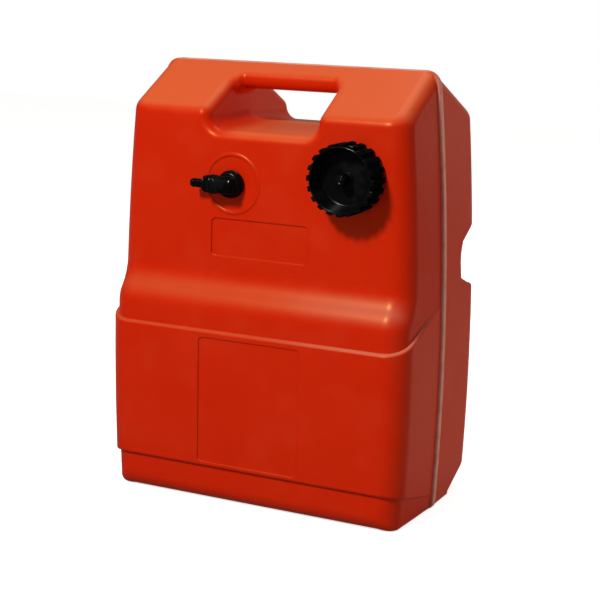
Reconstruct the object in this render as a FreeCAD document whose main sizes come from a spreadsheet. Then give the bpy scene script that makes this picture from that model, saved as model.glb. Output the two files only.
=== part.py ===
import FreeCAD, Part
import math
import os
import re

import Sketcher
from FreeCAD import Placement, Rotation, Vector

# Portable outboard fuel tank. The tank stands on its base at the origin, its moulding seam lies in
# the plane of X and Z, and its front, with the filler cap and the hose outlet, faces -Y.

doc = FreeCAD.newDocument("outboard_fuel_tank")
sheet = doc.addObject("Spreadsheet::Sheet", "sizes")

SIZES = [
    # blow-moulded tank
    ("tank_height", 450, "base to the top of the grip"),
    ("tank_width", 338, "across the widest part of the sides"),
    ("widest_height", 146, "height of the widest part above the base"),
    ("side_bow", 2830, "radius of the bowed sides"),
    ("seam_to_front", 98, "seam to the front wall above the foot"),
    ("seam_to_face", 82, "seam to the upper face that carries the cap"),
    ("seam_to_back", 101.5, "seam to the back wall"),
    ("belly_top", 200, "height where the front starts to step back"),
    ("face_bottom", 244, "height where the upper face starts"),
    ("front_roof_fall", 45, "fall of the roof from the top to its front edge"),
    ("back_roof_fall", 48, "fall of the roof from the top to its back edge"),
    ("front_eave", "=tank_height - front_roof_fall", "height of the roof's front edge"),
    ("back_eave", "=tank_height - back_roof_fall", "height of the roof's back edge"),
    ("ridge_flat", 4, "half depth of the flat on top"),
    ("seam_sink", 0.6, "drop of the moulded halves below the seam rib on top"),
    ("front_draft", 0.046, "lean of the front half's sides, in mm a mm"),
    ("back_draft", 0.007, "lean of the back half's sides, in mm a mm"),
    ("upright_round", 22, "rounding of the upright corners"),
    ("roof_round", 15, "rounding of the sloping roof corners"),
    ("eave_round", 12, "rounding of the edge between wall and roof"),
    ("ridge_round", 11, "rounding along the top"),
    ("base_front_round", 18, "rounding of the base along the front"),
    ("base_side_round", 5, "rounding of the base along the sides"),
    ("wall", 4, "thickness of the moulded wall"),
    ("overrun", 20, "how far a cutting shape passes what it cuts"),
    # foot band and seam rib
    ("band_depth", 102, "seam to the front of the foot band"),
    ("band_bottom", 40, "height of the band's lower edge at the front"),
    ("band_top", 182, "height of the ledge at the front"),
    ("band_bottom_seam", 13.5, "height of the band's lower edge at the seam"),
    ("band_top_seam", 222, "height of the band's upper edge at the seam"),
    ("band_corner", 25, "rounding of the band's upright corners"),
    ("band_edge", 2.5, "rounding of the band's ledge"),
    ("rib_width", 9, "width of the seam rib"),
    ("rib_stand", 2, "how far the seam rib stands out at the sides"),
    ("seam_groove", 0.5, "depth of the shallow groove inside, behind the seam rib"),
    ("rib_edge", 1.8, "rounding along the seam rib"),
    # grip and the hand opening below it
    ("hand_half", 58, "half width of the hand opening at the seam"),
    ("hand_depth", 60.5, "top of the grip down to the opening's floor at the seam"),
    ("hand_floor", "=tank_height - hand_depth", "height of the opening's floor at the seam"),
    ("hand_flare", 4, "widening of the opening towards front and back, each side"),
    ("hand_fall", 7.5, "fall of the floor towards front and back"),
    ("hand_corner", 14, "rounding between the opening's floor and sides"),
    ("hand_rim", 10, "rounding of the opening's outer rim"),
    ("grip_front", 28, "seam to the front of the grip"),
    ("grip_back", 18, "seam to the back of the grip"),
    ("grip_thick", 27, "thickness of the grip"),
    ("grip_bottom", "=tank_height - grip_thick", "height of the grip's underside"),
    ("grip_round", 8, "rounding of the grip's underside and ends"),
    # hand hollow across the back, used to tip the tank
    ("hollow_top", 296.5, "height of the hollow's upper lip"),
    ("hollow_roof", 273.5, "height of the inner end of the hollow's roof"),
    ("hollow_roof_depth", 57, "seam to the inner end of the hollow's roof"),
    ("hollow_middle", 252, "height of the deepest part of the hollow"),
    ("hollow_inner", 50, "seam to the deepest part of the hollow"),
    ("hollow_bottom", 235.5, "height of the hollow's lowest point"),
    ("hollow_corner", 52, "seam to the hollow's lowest point"),
    ("hollow_brow", 228.5, "height where the lower lip starts to curve down"),
    ("hollow_brow_depth", 70, "seam to where the lower lip starts to curve down"),
    ("hollow_lip", 195, "height where the lower lip meets the back wall"),
    ("hollow_round", 38, "radius of the lower lip and of the inner wall"),
    ("heel_depth", 57, "depth of the slope under the back edge"),
    ("heel_height", 36, "height of the slope under the back edge"),
    ("heel_step", 6, "height of the step where that slope starts"),
    # shallow panels, bare
    ("panel_corner", 5, "corner rounding of the shallow panels"),
    ("upper_panel_half", 54.5, "half width of the panel below the cap"),
    ("upper_panel_bottom", 258, "height of that panel's lower edge"),
    ("upper_panel_high", 38.5, "height of that panel itself"),
    ("upper_panel_top", "=upper_panel_bottom + upper_panel_high", "height of its upper edge"),
    ("upper_panel_sink", 1, "depth of that panel"),
    ("lower_panel_half", 57.3, "half width of the panel on the foot band"),
    ("lower_panel_bottom", 44, "lower edge of the lower panel"),
    ("lower_panel_top", 176, "upper edge of the lower panel"),
    ("lower_panel_sink", 0.8, "depth of the lower panel"),
    # filler neck
    ("filler_from_side", 68, "filler axis inwards from the widest part of the side"),
    ("filler_from_top", 100.5, "filler axis below the top"),
    ("filler_x", "=tank_width / 2 - filler_from_side", "filler axis, to the right of the middle"),
    ("filler_z", "=tank_height - filler_from_top", "filler axis above the base"),
    ("neck_outer", 28, "outer radius of the filler neck"),
    ("neck_bore", 23.5, "inner radius of the filler neck"),
    ("neck_rim_round", 1, "rounding of the neck's rim"),
    # filler cap
    ("cap_tip", 35, "outer radius over the finger lugs"),
    ("cap_root", 32.4, "radius between the finger lugs"),
    ("cap_lugs", 20, "number of finger lugs"),
    ("cap_skirt_foot", 1.5, "skirt's lower edge above the face"),
    ("cap_front", 31, "front of the cap above the face"),
    ("cap_skirt_inner", 29.8, "inner radius of the skirt"),
    ("dish_rim", 31, "radius of the dish at the front"),
    ("dish_foot", 26.5, "radius of the dish at its floor"),
    ("dish_floor", 14, "dish floor above the face"),
    ("cap_plate", 3, "thickness of the cap's closing plate"),
    ("lug_round", 0.8, "rounding of the finger lugs"),
    ("gasket_inner", 24, "inner radius of the cap gasket"),
    ("gasket_outer", 28.5, "outer radius of the cap gasket"),
    ("gasket_thick", 2.5, "thickness of the cap gasket"),
    ("slip_thick", 1.2, "thickness of the slip washer"),
    ("cap_seal_gap", 0.3, "gap between the slip washer and the closing plate"),
    (
        "neck_rise", "=dish_floor - cap_plate - cap_seal_gap - slip_thick - gasket_thick",
        "neck's rim above the face",
    ),
    # vent in the middle of the cap
    ("vent_bush_outer", 5.5, "outer radius of the vent bush"),
    ("vent_bush_flange", 6.5, "radius of the bush's flange"),
    ("vent_bush_reach", 7, "length of the bush inwards from the dish floor"),
    ("vent_bush_inner_end", "=dish_floor - vent_bush_reach", "inner end of the bush above the face"),
    ("vent_flange_thick", 1.5, "thickness of the bush's flange"),
    ("vent_stem", 2.47, "radius of the vent screw's stem"),
    ("vent_running_gap", 0.08, "running clearance of the stem in the bush"),
    ("vent_ring_thick", 1.3, "thickness of the vent's O-ring"),
    ("vent_ring_middle", 3.6, "radius of the O-ring's middle line"),
    ("vent_knob", 5.5, "radius of the vent knob"),
    ("vent_knob_height", 12, "height of the vent knob"),
    ("vent_knob_flutes", 12, "number of flutes around the knob"),
    ("vent_flute", 0.9, "radius of a knob flute"),
    ("vent_travel", 2.7, "how far the vent screw can be opened before its clip stops it"),
    ("vent_clip_thick", 0.8, "thickness of the retaining clip"),
    (
        "vent_clip_place", "=vent_bush_inner_end - vent_travel - vent_clip_thick",
        "inner face of the retaining clip above the face",
    ),
    ("vent_stem_past", 0.5, "length of the stem past its clip"),
    ("vent_stem_end", "=vent_clip_place - vent_stem_past", "inner end of the stem above the face"),
    ("vent_clip_outer", 4.4, "outer radius of the retaining clip"),
    ("vent_groove", 1.9, "radius of the stem in the clip's groove"),
    ("clip_slot", 2.6, "width of the opening in a spring clip"),
    ("clip_gap", 0.1, "gap between a clip and the walls of its groove"),
    # outlet
    ("outlet_x", -31, "outlet axis, to the left of the middle"),
    ("outlet_from_top", 117.5, "outlet axis below the top"),
    ("outlet_z", "=tank_height - outlet_from_top", "outlet axis above the base"),
    ("boss_outer", 18, "radius of the boss inside the wall"),
    ("boss_depth", 12, "depth of the boss inwards from the face"),
    ("pad_ring", 29.5, "middle radius of the raised ring around the outlet"),
    ("pad_ring_width", 2, "width of the raised ring"),
    ("pad_ring_rise", 1.2, "height of the raised ring"),
    ("bush_outer", 11, "outer radius of the brass bush in the boss"),
    ("bush_groove", 9.9, "radius of the bush between its two collars"),
    ("bush_thread", 8.2, "inner radius of the bush"),
    ("fitting_thread", 8, "radius of the fitting's threaded body"),
    ("fitting_inner_end", 14, "length of the threaded body inwards from the face"),
    ("outlet_gasket_outer", 13, "outer radius of the flat gasket"),
    ("outlet_gasket_thick", 1.5, "thickness of the flat gasket"),
    ("fitting_flange", 14, "radius of the fitting's flange"),
    ("fitting_flange_thick", 3, "thickness of the fitting's flange"),
    ("spigot", 6.5, "radius of the spigot that the elbow turns on"),
    ("spigot_length", 8, "length of the spigot"),
    ("fitting_bore", 3, "radius of the fuel passage in the fitting"),
    ("tail_outer", 4, "radius of the tail that the pickup tube fits over"),
    ("tail_end", 30, "length of the tail inwards from the face"),
    ("snap_start", 6.2, "inner side of the snap ring's groove above the face"),
    ("snap_width", 1, "width of the snap ring's groove"),
    ("snap_root", 5.6, "radius of the spigot in the snap ring's groove"),
    ("snap_inner", 5.75, "inner radius of the snap ring"),
    ("snap_outer", 7.3, "outer radius of the snap ring"),
    ("seal_place", 9.55, "middle of the spigot's O-ring above the face"),
    ("seal_middle", 5.55, "radius of the O-ring's middle line"),
    ("seal_thick", 1.7, "thickness of the O-ring"),
    # swivelling elbow
    ("elbow_lift", 0.3, "gap between flange and elbow"),
    ("elbow_outer", 13, "radius of the elbow's round body"),
    ("elbow_top", 22, "front of the elbow above the face"),
    ("elbow_dome", 3, "rounding of the elbow's front"),
    ("swivel_gap", 0.06, "running clearance of the elbow on its spigot"),
    ("chamber_top", 18, "end of the chamber inside the elbow"),
    ("chamber", 5, "radius of the chamber"),
    ("branch_place", 13.4, "axis of the branch above the face"),
    ("branch_outer", 8.5, "radius of the branch"),
    ("branch_reach", 14, "elbow axis to the shoulder of the branch"),
    ("branch_thread", 7.4, "radius of the branch's thread"),
    ("branch_end", 20, "elbow axis to the end of the thread"),
    ("branch_bore", 3, "radius of the passage in the branch"),
    ("barb_washer_thick", 1, "thickness of the washer under the barb"),
    ("barb_collar", 7, "radius of the barb's collar"),
    ("barb_collar_thick", 2, "thickness of the barb's collar"),
    ("barb_crest", 4.6, "radius of the barb's teeth"),
    ("barb_root", 3.8, "radius between the barb's teeth"),
    ("barb_bore", 2.5, "radius of the passage in the barb"),
    ("barb_teeth", 5, "number of teeth on the barb"),
    ("barb_tooth", 2.9, "length of one tooth"),
    ("nut_outer", 10, "radius of the ridged nut"),
    ("nut_start_gap", 0.4, "gap between branch and nut"),
    ("nut_lip", 1.6, "thickness of the nut's lip over the collar"),
    ("nut_thread_gap", 0.25, "thread clearance of the nut"),
    ("nut_ridges", 18, "number of grooves around the nut"),
    ("nut_groove", 0.8, "radius of a groove in the nut"),
    # pickup inside the tank
    ("tube_wall", 1.5, "wall of the pickup tube"),
    ("tube_push", 14, "length of the tail inside the pickup tube"),
    ("tube_drop", -5, "where the tube hangs, from the seam"),
    ("tube_bend", 30, "radius of the tube's bend"),
    ("tube_end", 36, "height of the tube's lower end"),
    ("tube_clip_width", 5, "width of the hose clip"),
    ("tube_clip_wall", 1.2, "thickness of the hose clip"),
    ("tube_clip_place", 18, "hose clip's nearer side inwards from the face"),
    ("strainer_outer", 9, "outer radius of the strainer"),
    ("screen_wall", 0.8, "thickness of the strainer's screen"),
    ("head_top", 46, "top of the strainer's head"),
    ("head_bottom", 33, "bottom of the strainer's head"),
    ("screen_top", 34.5, "top of the screen"),
    ("screen_bottom", 11, "bottom of the screen"),
    ("foot_bottom", 7, "bottom of the strainer's foot"),
    ("foot_top", 12.5, "top of the strainer's foot"),
]

for row, (name, value, note) in enumerate(SIZES, start=1):
    sheet.set("A%d" % row, str(value))
    sheet.set("B%d" % row, note)
    sheet.setAlias("A%d" % row, name)
doc.recompute()
NAMES = {name for name, value, note in SIZES}


def spell(rule):
    """Write a rule such as 'wall * 2' with the sheet's name before each size."""
    return re.sub(r"[a-z_]+", lambda word: "sizes." * (word.group() in NAMES) + word.group(), rule)


def number(rule):
    """The value of a rule, in mm."""
    return float(sheet.evalExpression(spell(rule)))


def body(name, placement=Placement()):
    """A new body that later features join."""
    made = doc.addObject("PartDesign::Body", name)
    made.Placement = placement
    return made


def sketch(owner, name, role, offset="0"):
    """An empty sketch on one of the body's own planes, moved along the plane's normal."""
    made = owner.newObject("Sketcher::SketchObject", name)
    plane = [part for part in owner.Origin.OriginFeatures if part.Role == role][0]
    made.AttachmentSupport = [(plane, "")]
    made.MapMode = "FlatFace"
    made.setExpression("AttachmentOffset.Base.z", spell(offset))
    doc.recompute()
    return made


def pin(made, geo, end, across, up):
    """Hold one point of a sketch at a place given by two rules."""
    for kind, rule in (("DistanceX", across), ("DistanceY", up)):
        place = made.addConstraint(
            Sketcher.Constraint(kind, -1, 1, geo, end, number(rule))
        )
        made.setExpression("Constraints[%d]" % place, spell(rule))


def arc_between(start, end, radius, side):
    """The shorter arc from start to end, bulging to the right (side 1) or the left (side -1)."""
    middle = (start + end) * 0.5
    run = end - start
    sagitta = radius - math.sqrt(radius * radius - run.Length * run.Length / 4)
    right = Vector(run.y, -run.x, 0).normalize()
    return Part.Arc(start, middle + right * side * sagitta, end)


def outline(made, corners):
    """A closed outline. A corner is (across, up), or (across, up, "right" or "left", radius)
    where an arc that bulges to that side of the way forward leads on to the next corner."""
    points = [Vector(number(corner[0]), number(corner[1]), 0) for corner in corners]
    starts = []
    for place, corner in enumerate(corners):
        start = points[place]
        end = points[(place + 1) % len(points)]
        if len(corner) == 2:
            geo = made.addGeometry(Part.LineSegment(start, end))
            starts.append((geo, 1, 2))
            continue
        radius = number(corner[3])
        geo = made.addGeometry(arc_between(start, end, radius, 1 if corner[2] == "right" else -1))
        starts.append((geo, 1, 2) if corner[2] == "right" else (geo, 2, 1))
        held = made.addConstraint(Sketcher.Constraint("Radius", geo, radius))
        made.setExpression("Constraints[%d]" % held, spell(corner[3]))
    for place, (geo, first, last) in enumerate(starts):
        following = starts[(place + 1) % len(starts)]
        made.addConstraint(Sketcher.Constraint("Coincident", geo, last, following[0], following[1]))
        pin(made, geo, first, corners[place][0], corners[place][1])
    doc.recompute()


def circle(made, across, up, radius):
    """One circle in a sketch."""
    middle = Vector(number(across), number(up), 0)
    geo = made.addGeometry(Part.Circle(middle, Vector(0, 0, 1), number(radius)))
    pin(made, geo, 3, across, up)
    held = made.addConstraint(Sketcher.Constraint("Radius", geo, number(radius)))
    made.setExpression("Constraints[%d]" % held, spell(radius))


def pad(owner, name, drawing, length, midplane=False, reverse=False):
    """Give a sketch its thickness."""
    made = owner.newObject("PartDesign::Pad", name)
    made.Profile = drawing
    made.setExpression("Length", spell(length))
    made.Midplane = midplane
    made.Reversed = reverse
    doc.recompute()
    return made


def turned(owner, name, corners):
    """A round solid: its outline is (radius, distance along the axis)."""
    drawing = sketch(owner, name + "_outline", "XZ_Plane")
    outline(drawing, corners)
    made = owner.newObject("PartDesign::Revolution", name)
    made.Profile = drawing
    made.ReferenceAxis = (drawing, ["V_Axis"])
    made.Angle = 360
    doc.recompute()
    return made


def around(owner, name, feature, drawing, count):
    """Repeat a feature evenly around the body's axis."""
    made = owner.newObject("PartDesign::PolarPattern", name)
    made.Originals = [feature]
    made.Axis = (drawing, ["N_Axis"])
    made.Angle = 360
    made.setExpression("Occurrences", spell(count))
    owner.Tip = made
    doc.recompute()
    return made


def joined(kind, name, parts):
    """A boolean of several solids: MultiFuse or MultiCommon."""
    made = doc.addObject("Part::" + kind, name)
    made.Shapes = parts
    made.Refine = False
    doc.recompute()
    return made


def cut(name, base, tool):
    """One solid with another taken out of it."""
    made = doc.addObject("Part::Cut", name)
    made.Base = base
    made.Tool = tool
    made.Refine = False
    doc.recompute()
    return made


def rounded(name, base, radii):
    """Round edges: radii gives a radius rule for each edge number."""
    made = doc.addObject("Part::Fillet", name)
    made.Base = base
    made.Edges = [(edge, number(rule), number(rule)) for edge, rule in radii.items()]
    doc.recompute()
    return made


def ends(edge):
    """The two ends of an edge."""
    return edge.Vertexes[0].Point, edge.Vertexes[-1].Point


# ---- the two moulded halves ------------------------------------------------------------------
# Each half is its side profile, run across the tank, kept inside its drafted and bowed outline.

def half_solid(name, side, inset):
    """One moulded half before rounding, pulled in by inset on every side."""
    sign = "-1" if side < 0 else "1"
    deep = "seam_to_front" if side < 0 else "seam_to_back"
    eave = "front_eave" if side < 0 else "back_eave"
    draft = "front_draft" if side < 0 else "back_draft"
    top = "tank_height - seam_sink - (%s)" % inset
    shape = body(name + "_profile")
    drawing = sketch(shape, name + "_profile_drawing", "YZ_Plane")
    corners = [("0", inset), ("%s * (%s - (%s))" % (sign, deep, inset), inset)]
    if side < 0:
        middle = "-(seam_to_front + seam_to_face) / 2 + (%s)" % inset
        rise = "(face_bottom - belly_top) / 2"
        step = "(seam_to_front - seam_to_face) / 2"
        bend = "((%s) * (%s) + (%s) * (%s)) / (2 * (%s))" % (rise, rise, step, step, step)
        corners.append(("-seam_to_front + (%s)" % inset, "belly_top", "left", bend))
        corners.append((middle, "(belly_top + face_bottom) / 2", "right", bend))
        corners.append(("-seam_to_face + (%s)" % inset, "face_bottom"))
        corners.append(("-seam_to_face + (%s)" % inset, "%s - (%s) / 2" % (eave, inset)))
    else:
        corners.append(("%s - (%s)" % (deep, inset), "%s - (%s) / 2" % (eave, inset)))
    corners += [("%s * ridge_flat" % sign, top), ("0", top)]
    outline(drawing, corners)
    pad(shape, name + "_profile_pad", drawing, "tank_width + overrun * 2", midplane=True)

    plan = body(name + "_plan")
    low = "-overrun"
    high = "tank_height + overrun"
    sections = []
    for label, depth in (("seam", "0"), ("outer", "%s + overrun" % deep)):
        part = sketch(plan, "%s_plan_%s" % (name, label), "XZ_Plane", "%s * (%s)" % ("-1" if side > 0 else "1", depth))
        reach = "tank_width / 2 - (%s) - %s * (%s) - side_bow" % (inset, draft, depth)
        at_low = "%s + sqrt(side_bow * side_bow - (widest_height + overrun) * (widest_height + overrun))" % reach
        at_high = "%s + sqrt(side_bow * side_bow - (%s - widest_height) * (%s - widest_height))" % (reach, high, high)
        outline(part, [
            ("-(%s)" % at_low, low),
            (at_low, low, "right", "side_bow"),
            (at_high, high),
            ("-(%s)" % at_high, high, "right", "side_bow"),
        ])
        sections.append(part)
    loft = plan.newObject("PartDesign::AdditiveLoft", name + "_plan_loft")
    loft.Profile = sections[0]
    loft.Sections = [sections[1]]
    loft.Ruled = True
    doc.recompute()
    return joined("MultiCommon", name, [shape, plan])


def half_radii(base, side, less):
    """The rounding of each edge of a half, less the wall for the hollow inside."""
    eave = number("front_eave" if side < 0 else "back_eave")
    low = min(vertex.Z for vertex in base.Shape.Vertexes)
    high = max(vertex.Z for vertex in base.Shape.Vertexes)
    radii = {}
    for place, edge in enumerate(base.Shape.Edges, start=1):
        first, last = ends(edge)
        heights = sorted((first.z, last.z))
        if abs(first.y) < 0.01 and abs(last.y) < 0.01:
            continue
        if abs(first.x - last.x) > number("hand_half"):
            if heights[1] < low + 1:
                rule = "base_front_round"
            elif heights[0] > high - 1:
                rule = "ridge_round"
            elif heights[0] > eave - 10:
                rule = "eave_round"
            else:
                continue
        elif heights[1] < low + 1:
            rule = "base_side_round"
        elif heights[1] > eave + 1:
            rule = "roof_round"
        else:
            rule = "upright_round"
        radii[place] = "%s - (%s)" % (rule, less)
    return radii


def hand_section(owner, name, offset, half, floor):
    """The upright section of the hand opening, open at the top."""
    made = sketch(owner, name, "XZ_Plane", offset)
    top = "tank_height + overrun"
    outline(made, [
        ("-(%s)" % half, top),
        ("-(%s)" % half, "%s + hand_corner" % floor, "right", "hand_corner"),
        ("-(%s) + hand_corner" % half, floor),
        ("%s - hand_corner" % half, floor, "right", "hand_corner"),
        (half, "%s + hand_corner" % floor),
        (half, top),
    ])
    return made


def hand_tool(name, side):
    """What is taken out of one half for the hand: a flared passage that leaves the grip."""
    deep = "seam_to_front + overrun" if side < 0 else "seam_to_back + overrun"
    grip = "grip_front" if side < 0 else "grip_back"
    shape = body(name + "_passage")
    near = hand_section(shape, name + "_at_seam", "0", "hand_half", "hand_floor")
    far = hand_section(
        shape, name + "_outside", "%s * (%s)" % ("1" if side < 0 else "-1", deep),
        "hand_half + hand_flare", "hand_floor - hand_fall",
    )
    loft = shape.newObject("PartDesign::AdditiveLoft", name + "_loft")
    loft.Profile = near
    loft.Sections = [far]
    loft.Ruled = True
    doc.recompute()
    block = doc.addObject("Part::Box", name + "_grip_block")
    block.setExpression("Length", spell("hand_half * 2 + overrun * 2"))
    block.setExpression("Width", spell(grip))
    block.setExpression("Height", spell("tank_height + overrun * 2 - grip_bottom"))
    block.setExpression("Placement.Base.x", spell("-hand_half - overrun"))
    block.setExpression("Placement.Base.y", spell("-" + grip if side < 0 else "0"))
    block.setExpression("Placement.Base.z", spell("grip_bottom"))
    doc.recompute()
    under = {}
    for place, edge in enumerate(block.Shape.Edges, start=1):
        if all(abs(abs(point.y) - number(grip)) < 0.01 for point in ends(edge)):
            if all(abs(point.z - number("grip_bottom")) < 0.01 for point in ends(edge)):
                under[place] = "grip_round"
    bar = rounded(name + "_grip", block, under)
    plain = cut(name + "_plain", shape, bar)
    upright = {}
    for place, edge in enumerate(plain.Shape.Edges, start=1):
        first, last = ends(edge)
        on_grip = all(abs(abs(point.y) - number(grip)) < 0.01 for point in (first, last))
        if on_grip and abs(first.x - last.x) < 3:
            upright[place] = "grip_round"
    return rounded(name, plain, upright)


def rim_edges(base, skin):
    """The edges where the hand opening meets the outer skin of one half."""
    found = []
    outside = [face for face in skin.Shape.Faces if abs(face.CenterOfMass.y) > 0.01]
    for place, edge in enumerate(base.Shape.Edges, start=1):
        run = edge.LastParameter - edge.FirstParameter
        points = [edge.valueAt(edge.FirstParameter + run * share) for share in (0.1, 0.5, 0.9)]
        near = number("hand_half + hand_flare * 4")
        if any(abs(point.x) > near or abs(point.y) < 1 for point in points):
            continue
        if any(point.z < number("hand_floor - hand_fall * 3") for point in points):
            continue
        gaps = [min(face.distToShape(Part.Vertex(point))[0] for face in outside) for point in points]
        if max(gaps) < 0.001:
            found.append(place)
    return found


halves = []
hollows = []
for label, side in (("front_half", -1), ("back_half", 1)):
    block = half_solid(label, side, "0")
    skin = rounded(label + "_rounded", block, half_radii(block, side, "0"))
    tool = hand_tool(label + "_hand", side)
    opened = cut(label + "_opened", skin, tool)
    rim = {edge: "hand_rim" for edge in rim_edges(opened, skin)}
    halves.append(rounded(label + "_finished", opened, rim))
    inside = half_solid(label + "_inside", side, "wall")
    hollows.append(rounded(label + "_inside_rounded", inside, half_radii(inside, side, "wall")))
core = joined("MultiFuse", "moulded_core", halves)

# ---- foot band, seam rib and the hollows across the back --------------------------------------
# The band stands proud of the drafted front half and fades into it at the seam.

band_side = body("band_side")
band_drawing = sketch(band_side, "band_drawing", "YZ_Plane")
outline(band_drawing, [
    ("0", "band_bottom_seam"),
    ("0", "band_top_seam"),
    ("-band_depth", "band_top"),
    ("-band_depth", "band_bottom"),
])
pad(band_side, "band_pad", band_drawing, "tank_width + overrun * 2", midplane=True)
band_plan = body("band_plan")
plan_drawing = sketch(band_plan, "band_plan_drawing", "XZ_Plane")
FOOT = "tank_width / 2 - side_bow + sqrt(side_bow * side_bow - (widest_height + overrun) * (widest_height + overrun))"
HEAD = "tank_width / 2 - side_bow + sqrt(side_bow * side_bow - (%s) * (%s))" % (
    "tank_height + overrun - widest_height", "tank_height + overrun - widest_height")
outline(plan_drawing, [
    ("-(%s)" % FOOT, "-overrun"),
    (FOOT, "-overrun", "right", "side_bow"),
    (HEAD, "tank_height + overrun"),
    ("-(%s)" % HEAD, "tank_height + overrun", "right", "side_bow"),
])
pad(band_plan, "band_plan_pad", plan_drawing, "band_depth + overrun")
band_block = joined("MultiCommon", "band_block", [band_side, band_plan])
corners = {}
for place, edge in enumerate(band_block.Shape.Edges, start=1):
    first, last = ends(edge)
    if max(first.y, last.y) < -number("band_depth") + 0.1 and abs(first.x - last.x) < 20:
        corners[place] = "band_corner"
band_cornered = rounded("band_cornered", band_block, corners)
ledges = {}
for place, edge in enumerate(band_cornered.Shape.Edges, start=1):
    first, last = ends(edge)
    run = edge.LastParameter - edge.FirstParameter
    middle = edge.valueAt(edge.FirstParameter + run / 2)
    on_front = max(first.y, last.y, middle.y) < -number("band_depth") + 0.1
    if on_front and abs(first.z - last.z) < 1:
        ledges[place] = "band_edge"
band = rounded("band", band_cornered, ledges)


def seam_plate(name, stand, top):
    """A plate as wide as the seam rib, in the seam's plane, with the tank's upright outline moved
    outwards by stand and its corners rounded to match."""
    plate = body(name)
    drawing = sketch(plate, name + "_drawing", "XZ_Plane", "-rib_width / 2")
    base = "-(%s)" % stand if top != "tank_height" else "0"
    reach = "tank_width / 2 + (%s) - side_bow" % stand
    at_base = "%s + sqrt(side_bow * side_bow - widest_height * widest_height)" % reach
    at_top = "%s + sqrt(side_bow * side_bow - (%s - widest_height) * (%s - widest_height))" % (reach, top, top)
    outline(drawing, [
        ("-(%s)" % at_base, base),
        (at_base, base, "right", "side_bow"),
        (at_top, top),
        ("-(%s)" % at_top, top, "right", "side_bow"),
    ])
    pad(plate, name + "_pad", drawing, "rib_width")
    radii = {}
    for place, edge in enumerate(plate.Shape.Edges, start=1):
        first, last = ends(edge)
        if abs(first.y - last.y) > number("rib_width") / 2:
            high = first.z > number("widest_height")
            radii[place] = "%s + (%s)" % ("roof_round" if high else "base_side_round", stand)
    return rounded(name + "_cornered", plate, radii)


rib_cornered = seam_plate("rib_plate", "rib_stand", "tank_height")
long_edges = {}
for place, edge in enumerate(rib_cornered.Shape.Edges, start=1):
    first, last = ends(edge)
    if abs(first.y - last.y) < number("rib_width") / 2:
        long_edges[place] = "rib_edge"
rib = rounded("rib", rib_cornered, long_edges)
rib_front = cut("rib_front_opened", rib, doc.getObject("front_half_hand"))
rib_opened = cut("rib_opened", rib_front, doc.getObject("back_half_hand"))


def back_hollow(name, extra):
    """The hand hollow across the back, enlarged by extra for the wall behind it."""
    made = body(name)
    drawing = sketch(made, name + "_drawing", "YZ_Plane")
    outline(drawing, [
        ("seam_to_back + overrun", "hollow_top + 1.2 * (%s)" % extra),
        ("seam_to_back", "hollow_top + 1.2 * (%s)" % extra),
        ("hollow_roof_depth - (%s) / 2" % extra, "hollow_roof + (%s)" % extra, "right", "hollow_round"),
        ("hollow_inner - (%s)" % extra, "hollow_middle"),
        ("hollow_corner - (%s)" % extra, "hollow_bottom - (%s)" % extra),
        ("hollow_brow_depth - (%s) / 2" % extra, "hollow_brow - (%s)" % extra, "left", "hollow_round"),
        ("seam_to_back", "hollow_lip - (%s)" % extra),
        ("seam_to_back + overrun", "hollow_lip - (%s)" % extra),
    ])
    pad(made, name + "_pad", drawing, "tank_width + overrun * 2", midplane=True)
    return made


def heel(name, extra):
    """The slope under the back edge, enlarged by extra for the wall behind it."""
    made = body(name)
    drawing = sketch(made, name + "_drawing", "YZ_Plane")
    outline(drawing, [
        ("seam_to_back + overrun", "heel_height + 1.2 * (%s)" % extra),
        ("seam_to_back", "heel_height + 1.2 * (%s)" % extra),
        ("seam_to_back - heel_depth - (%s) / 2" % extra, "heel_step + (%s)" % extra),
        ("seam_to_back - heel_depth - (%s) / 2" % extra, "-overrun"),
        ("seam_to_back + overrun", "-overrun"),
    ])
    pad(made, name + "_pad", drawing, "tank_width + overrun * 2", midplane=True)
    return made


def panel(name, half, low, high, face, sink):
    """A shallow panel with rounded corners, sunk into a face of the front."""
    made = body(name)
    drawing = sketch(made, name + "_drawing", "XZ_Plane", "%s - %s" % (face, sink))
    outline(drawing, [
        ("-%s + panel_corner" % half, low),
        ("%s - panel_corner" % half, low, "right", "panel_corner"),
        (half, "%s + panel_corner" % low),
        (half, "%s - panel_corner" % high, "right", "panel_corner"),
        ("%s - panel_corner" % half, high),
        ("-%s + panel_corner" % half, high, "right", "panel_corner"),
        ("-" + half, "%s - panel_corner" % high),
        ("-" + half, "%s + panel_corner" % low, "right", "panel_corner"),
    ])
    pad(made, name + "_pad", drawing, "%s + overrun" % sink)
    return made


def facing(across, up, out="0"):
    """A place on the upper face whose own Z looks outwards, towards -Y."""
    base = Vector(number(across), -number("seam_to_face + %s" % out), number(up))
    return Placement(base, Rotation(Vector(1, 0, 0), 90))


def follow(made, across, up, out="0"):
    """Keep such a place at its sizes."""
    made.setExpression("Placement.Base.x", spell(across))
    made.setExpression("Placement.Base.y", spell("-seam_to_face - (%s)" % out))
    made.setExpression("Placement.Base.z", spell(up))


def facing_body(name, across, up):
    """A body turned about an axis that looks outwards from the upper face."""
    made = body(name, facing(across, up))
    follow(made, across, up)
    return made


# ---- the tank ---------------------------------------------------------------------------------

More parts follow.
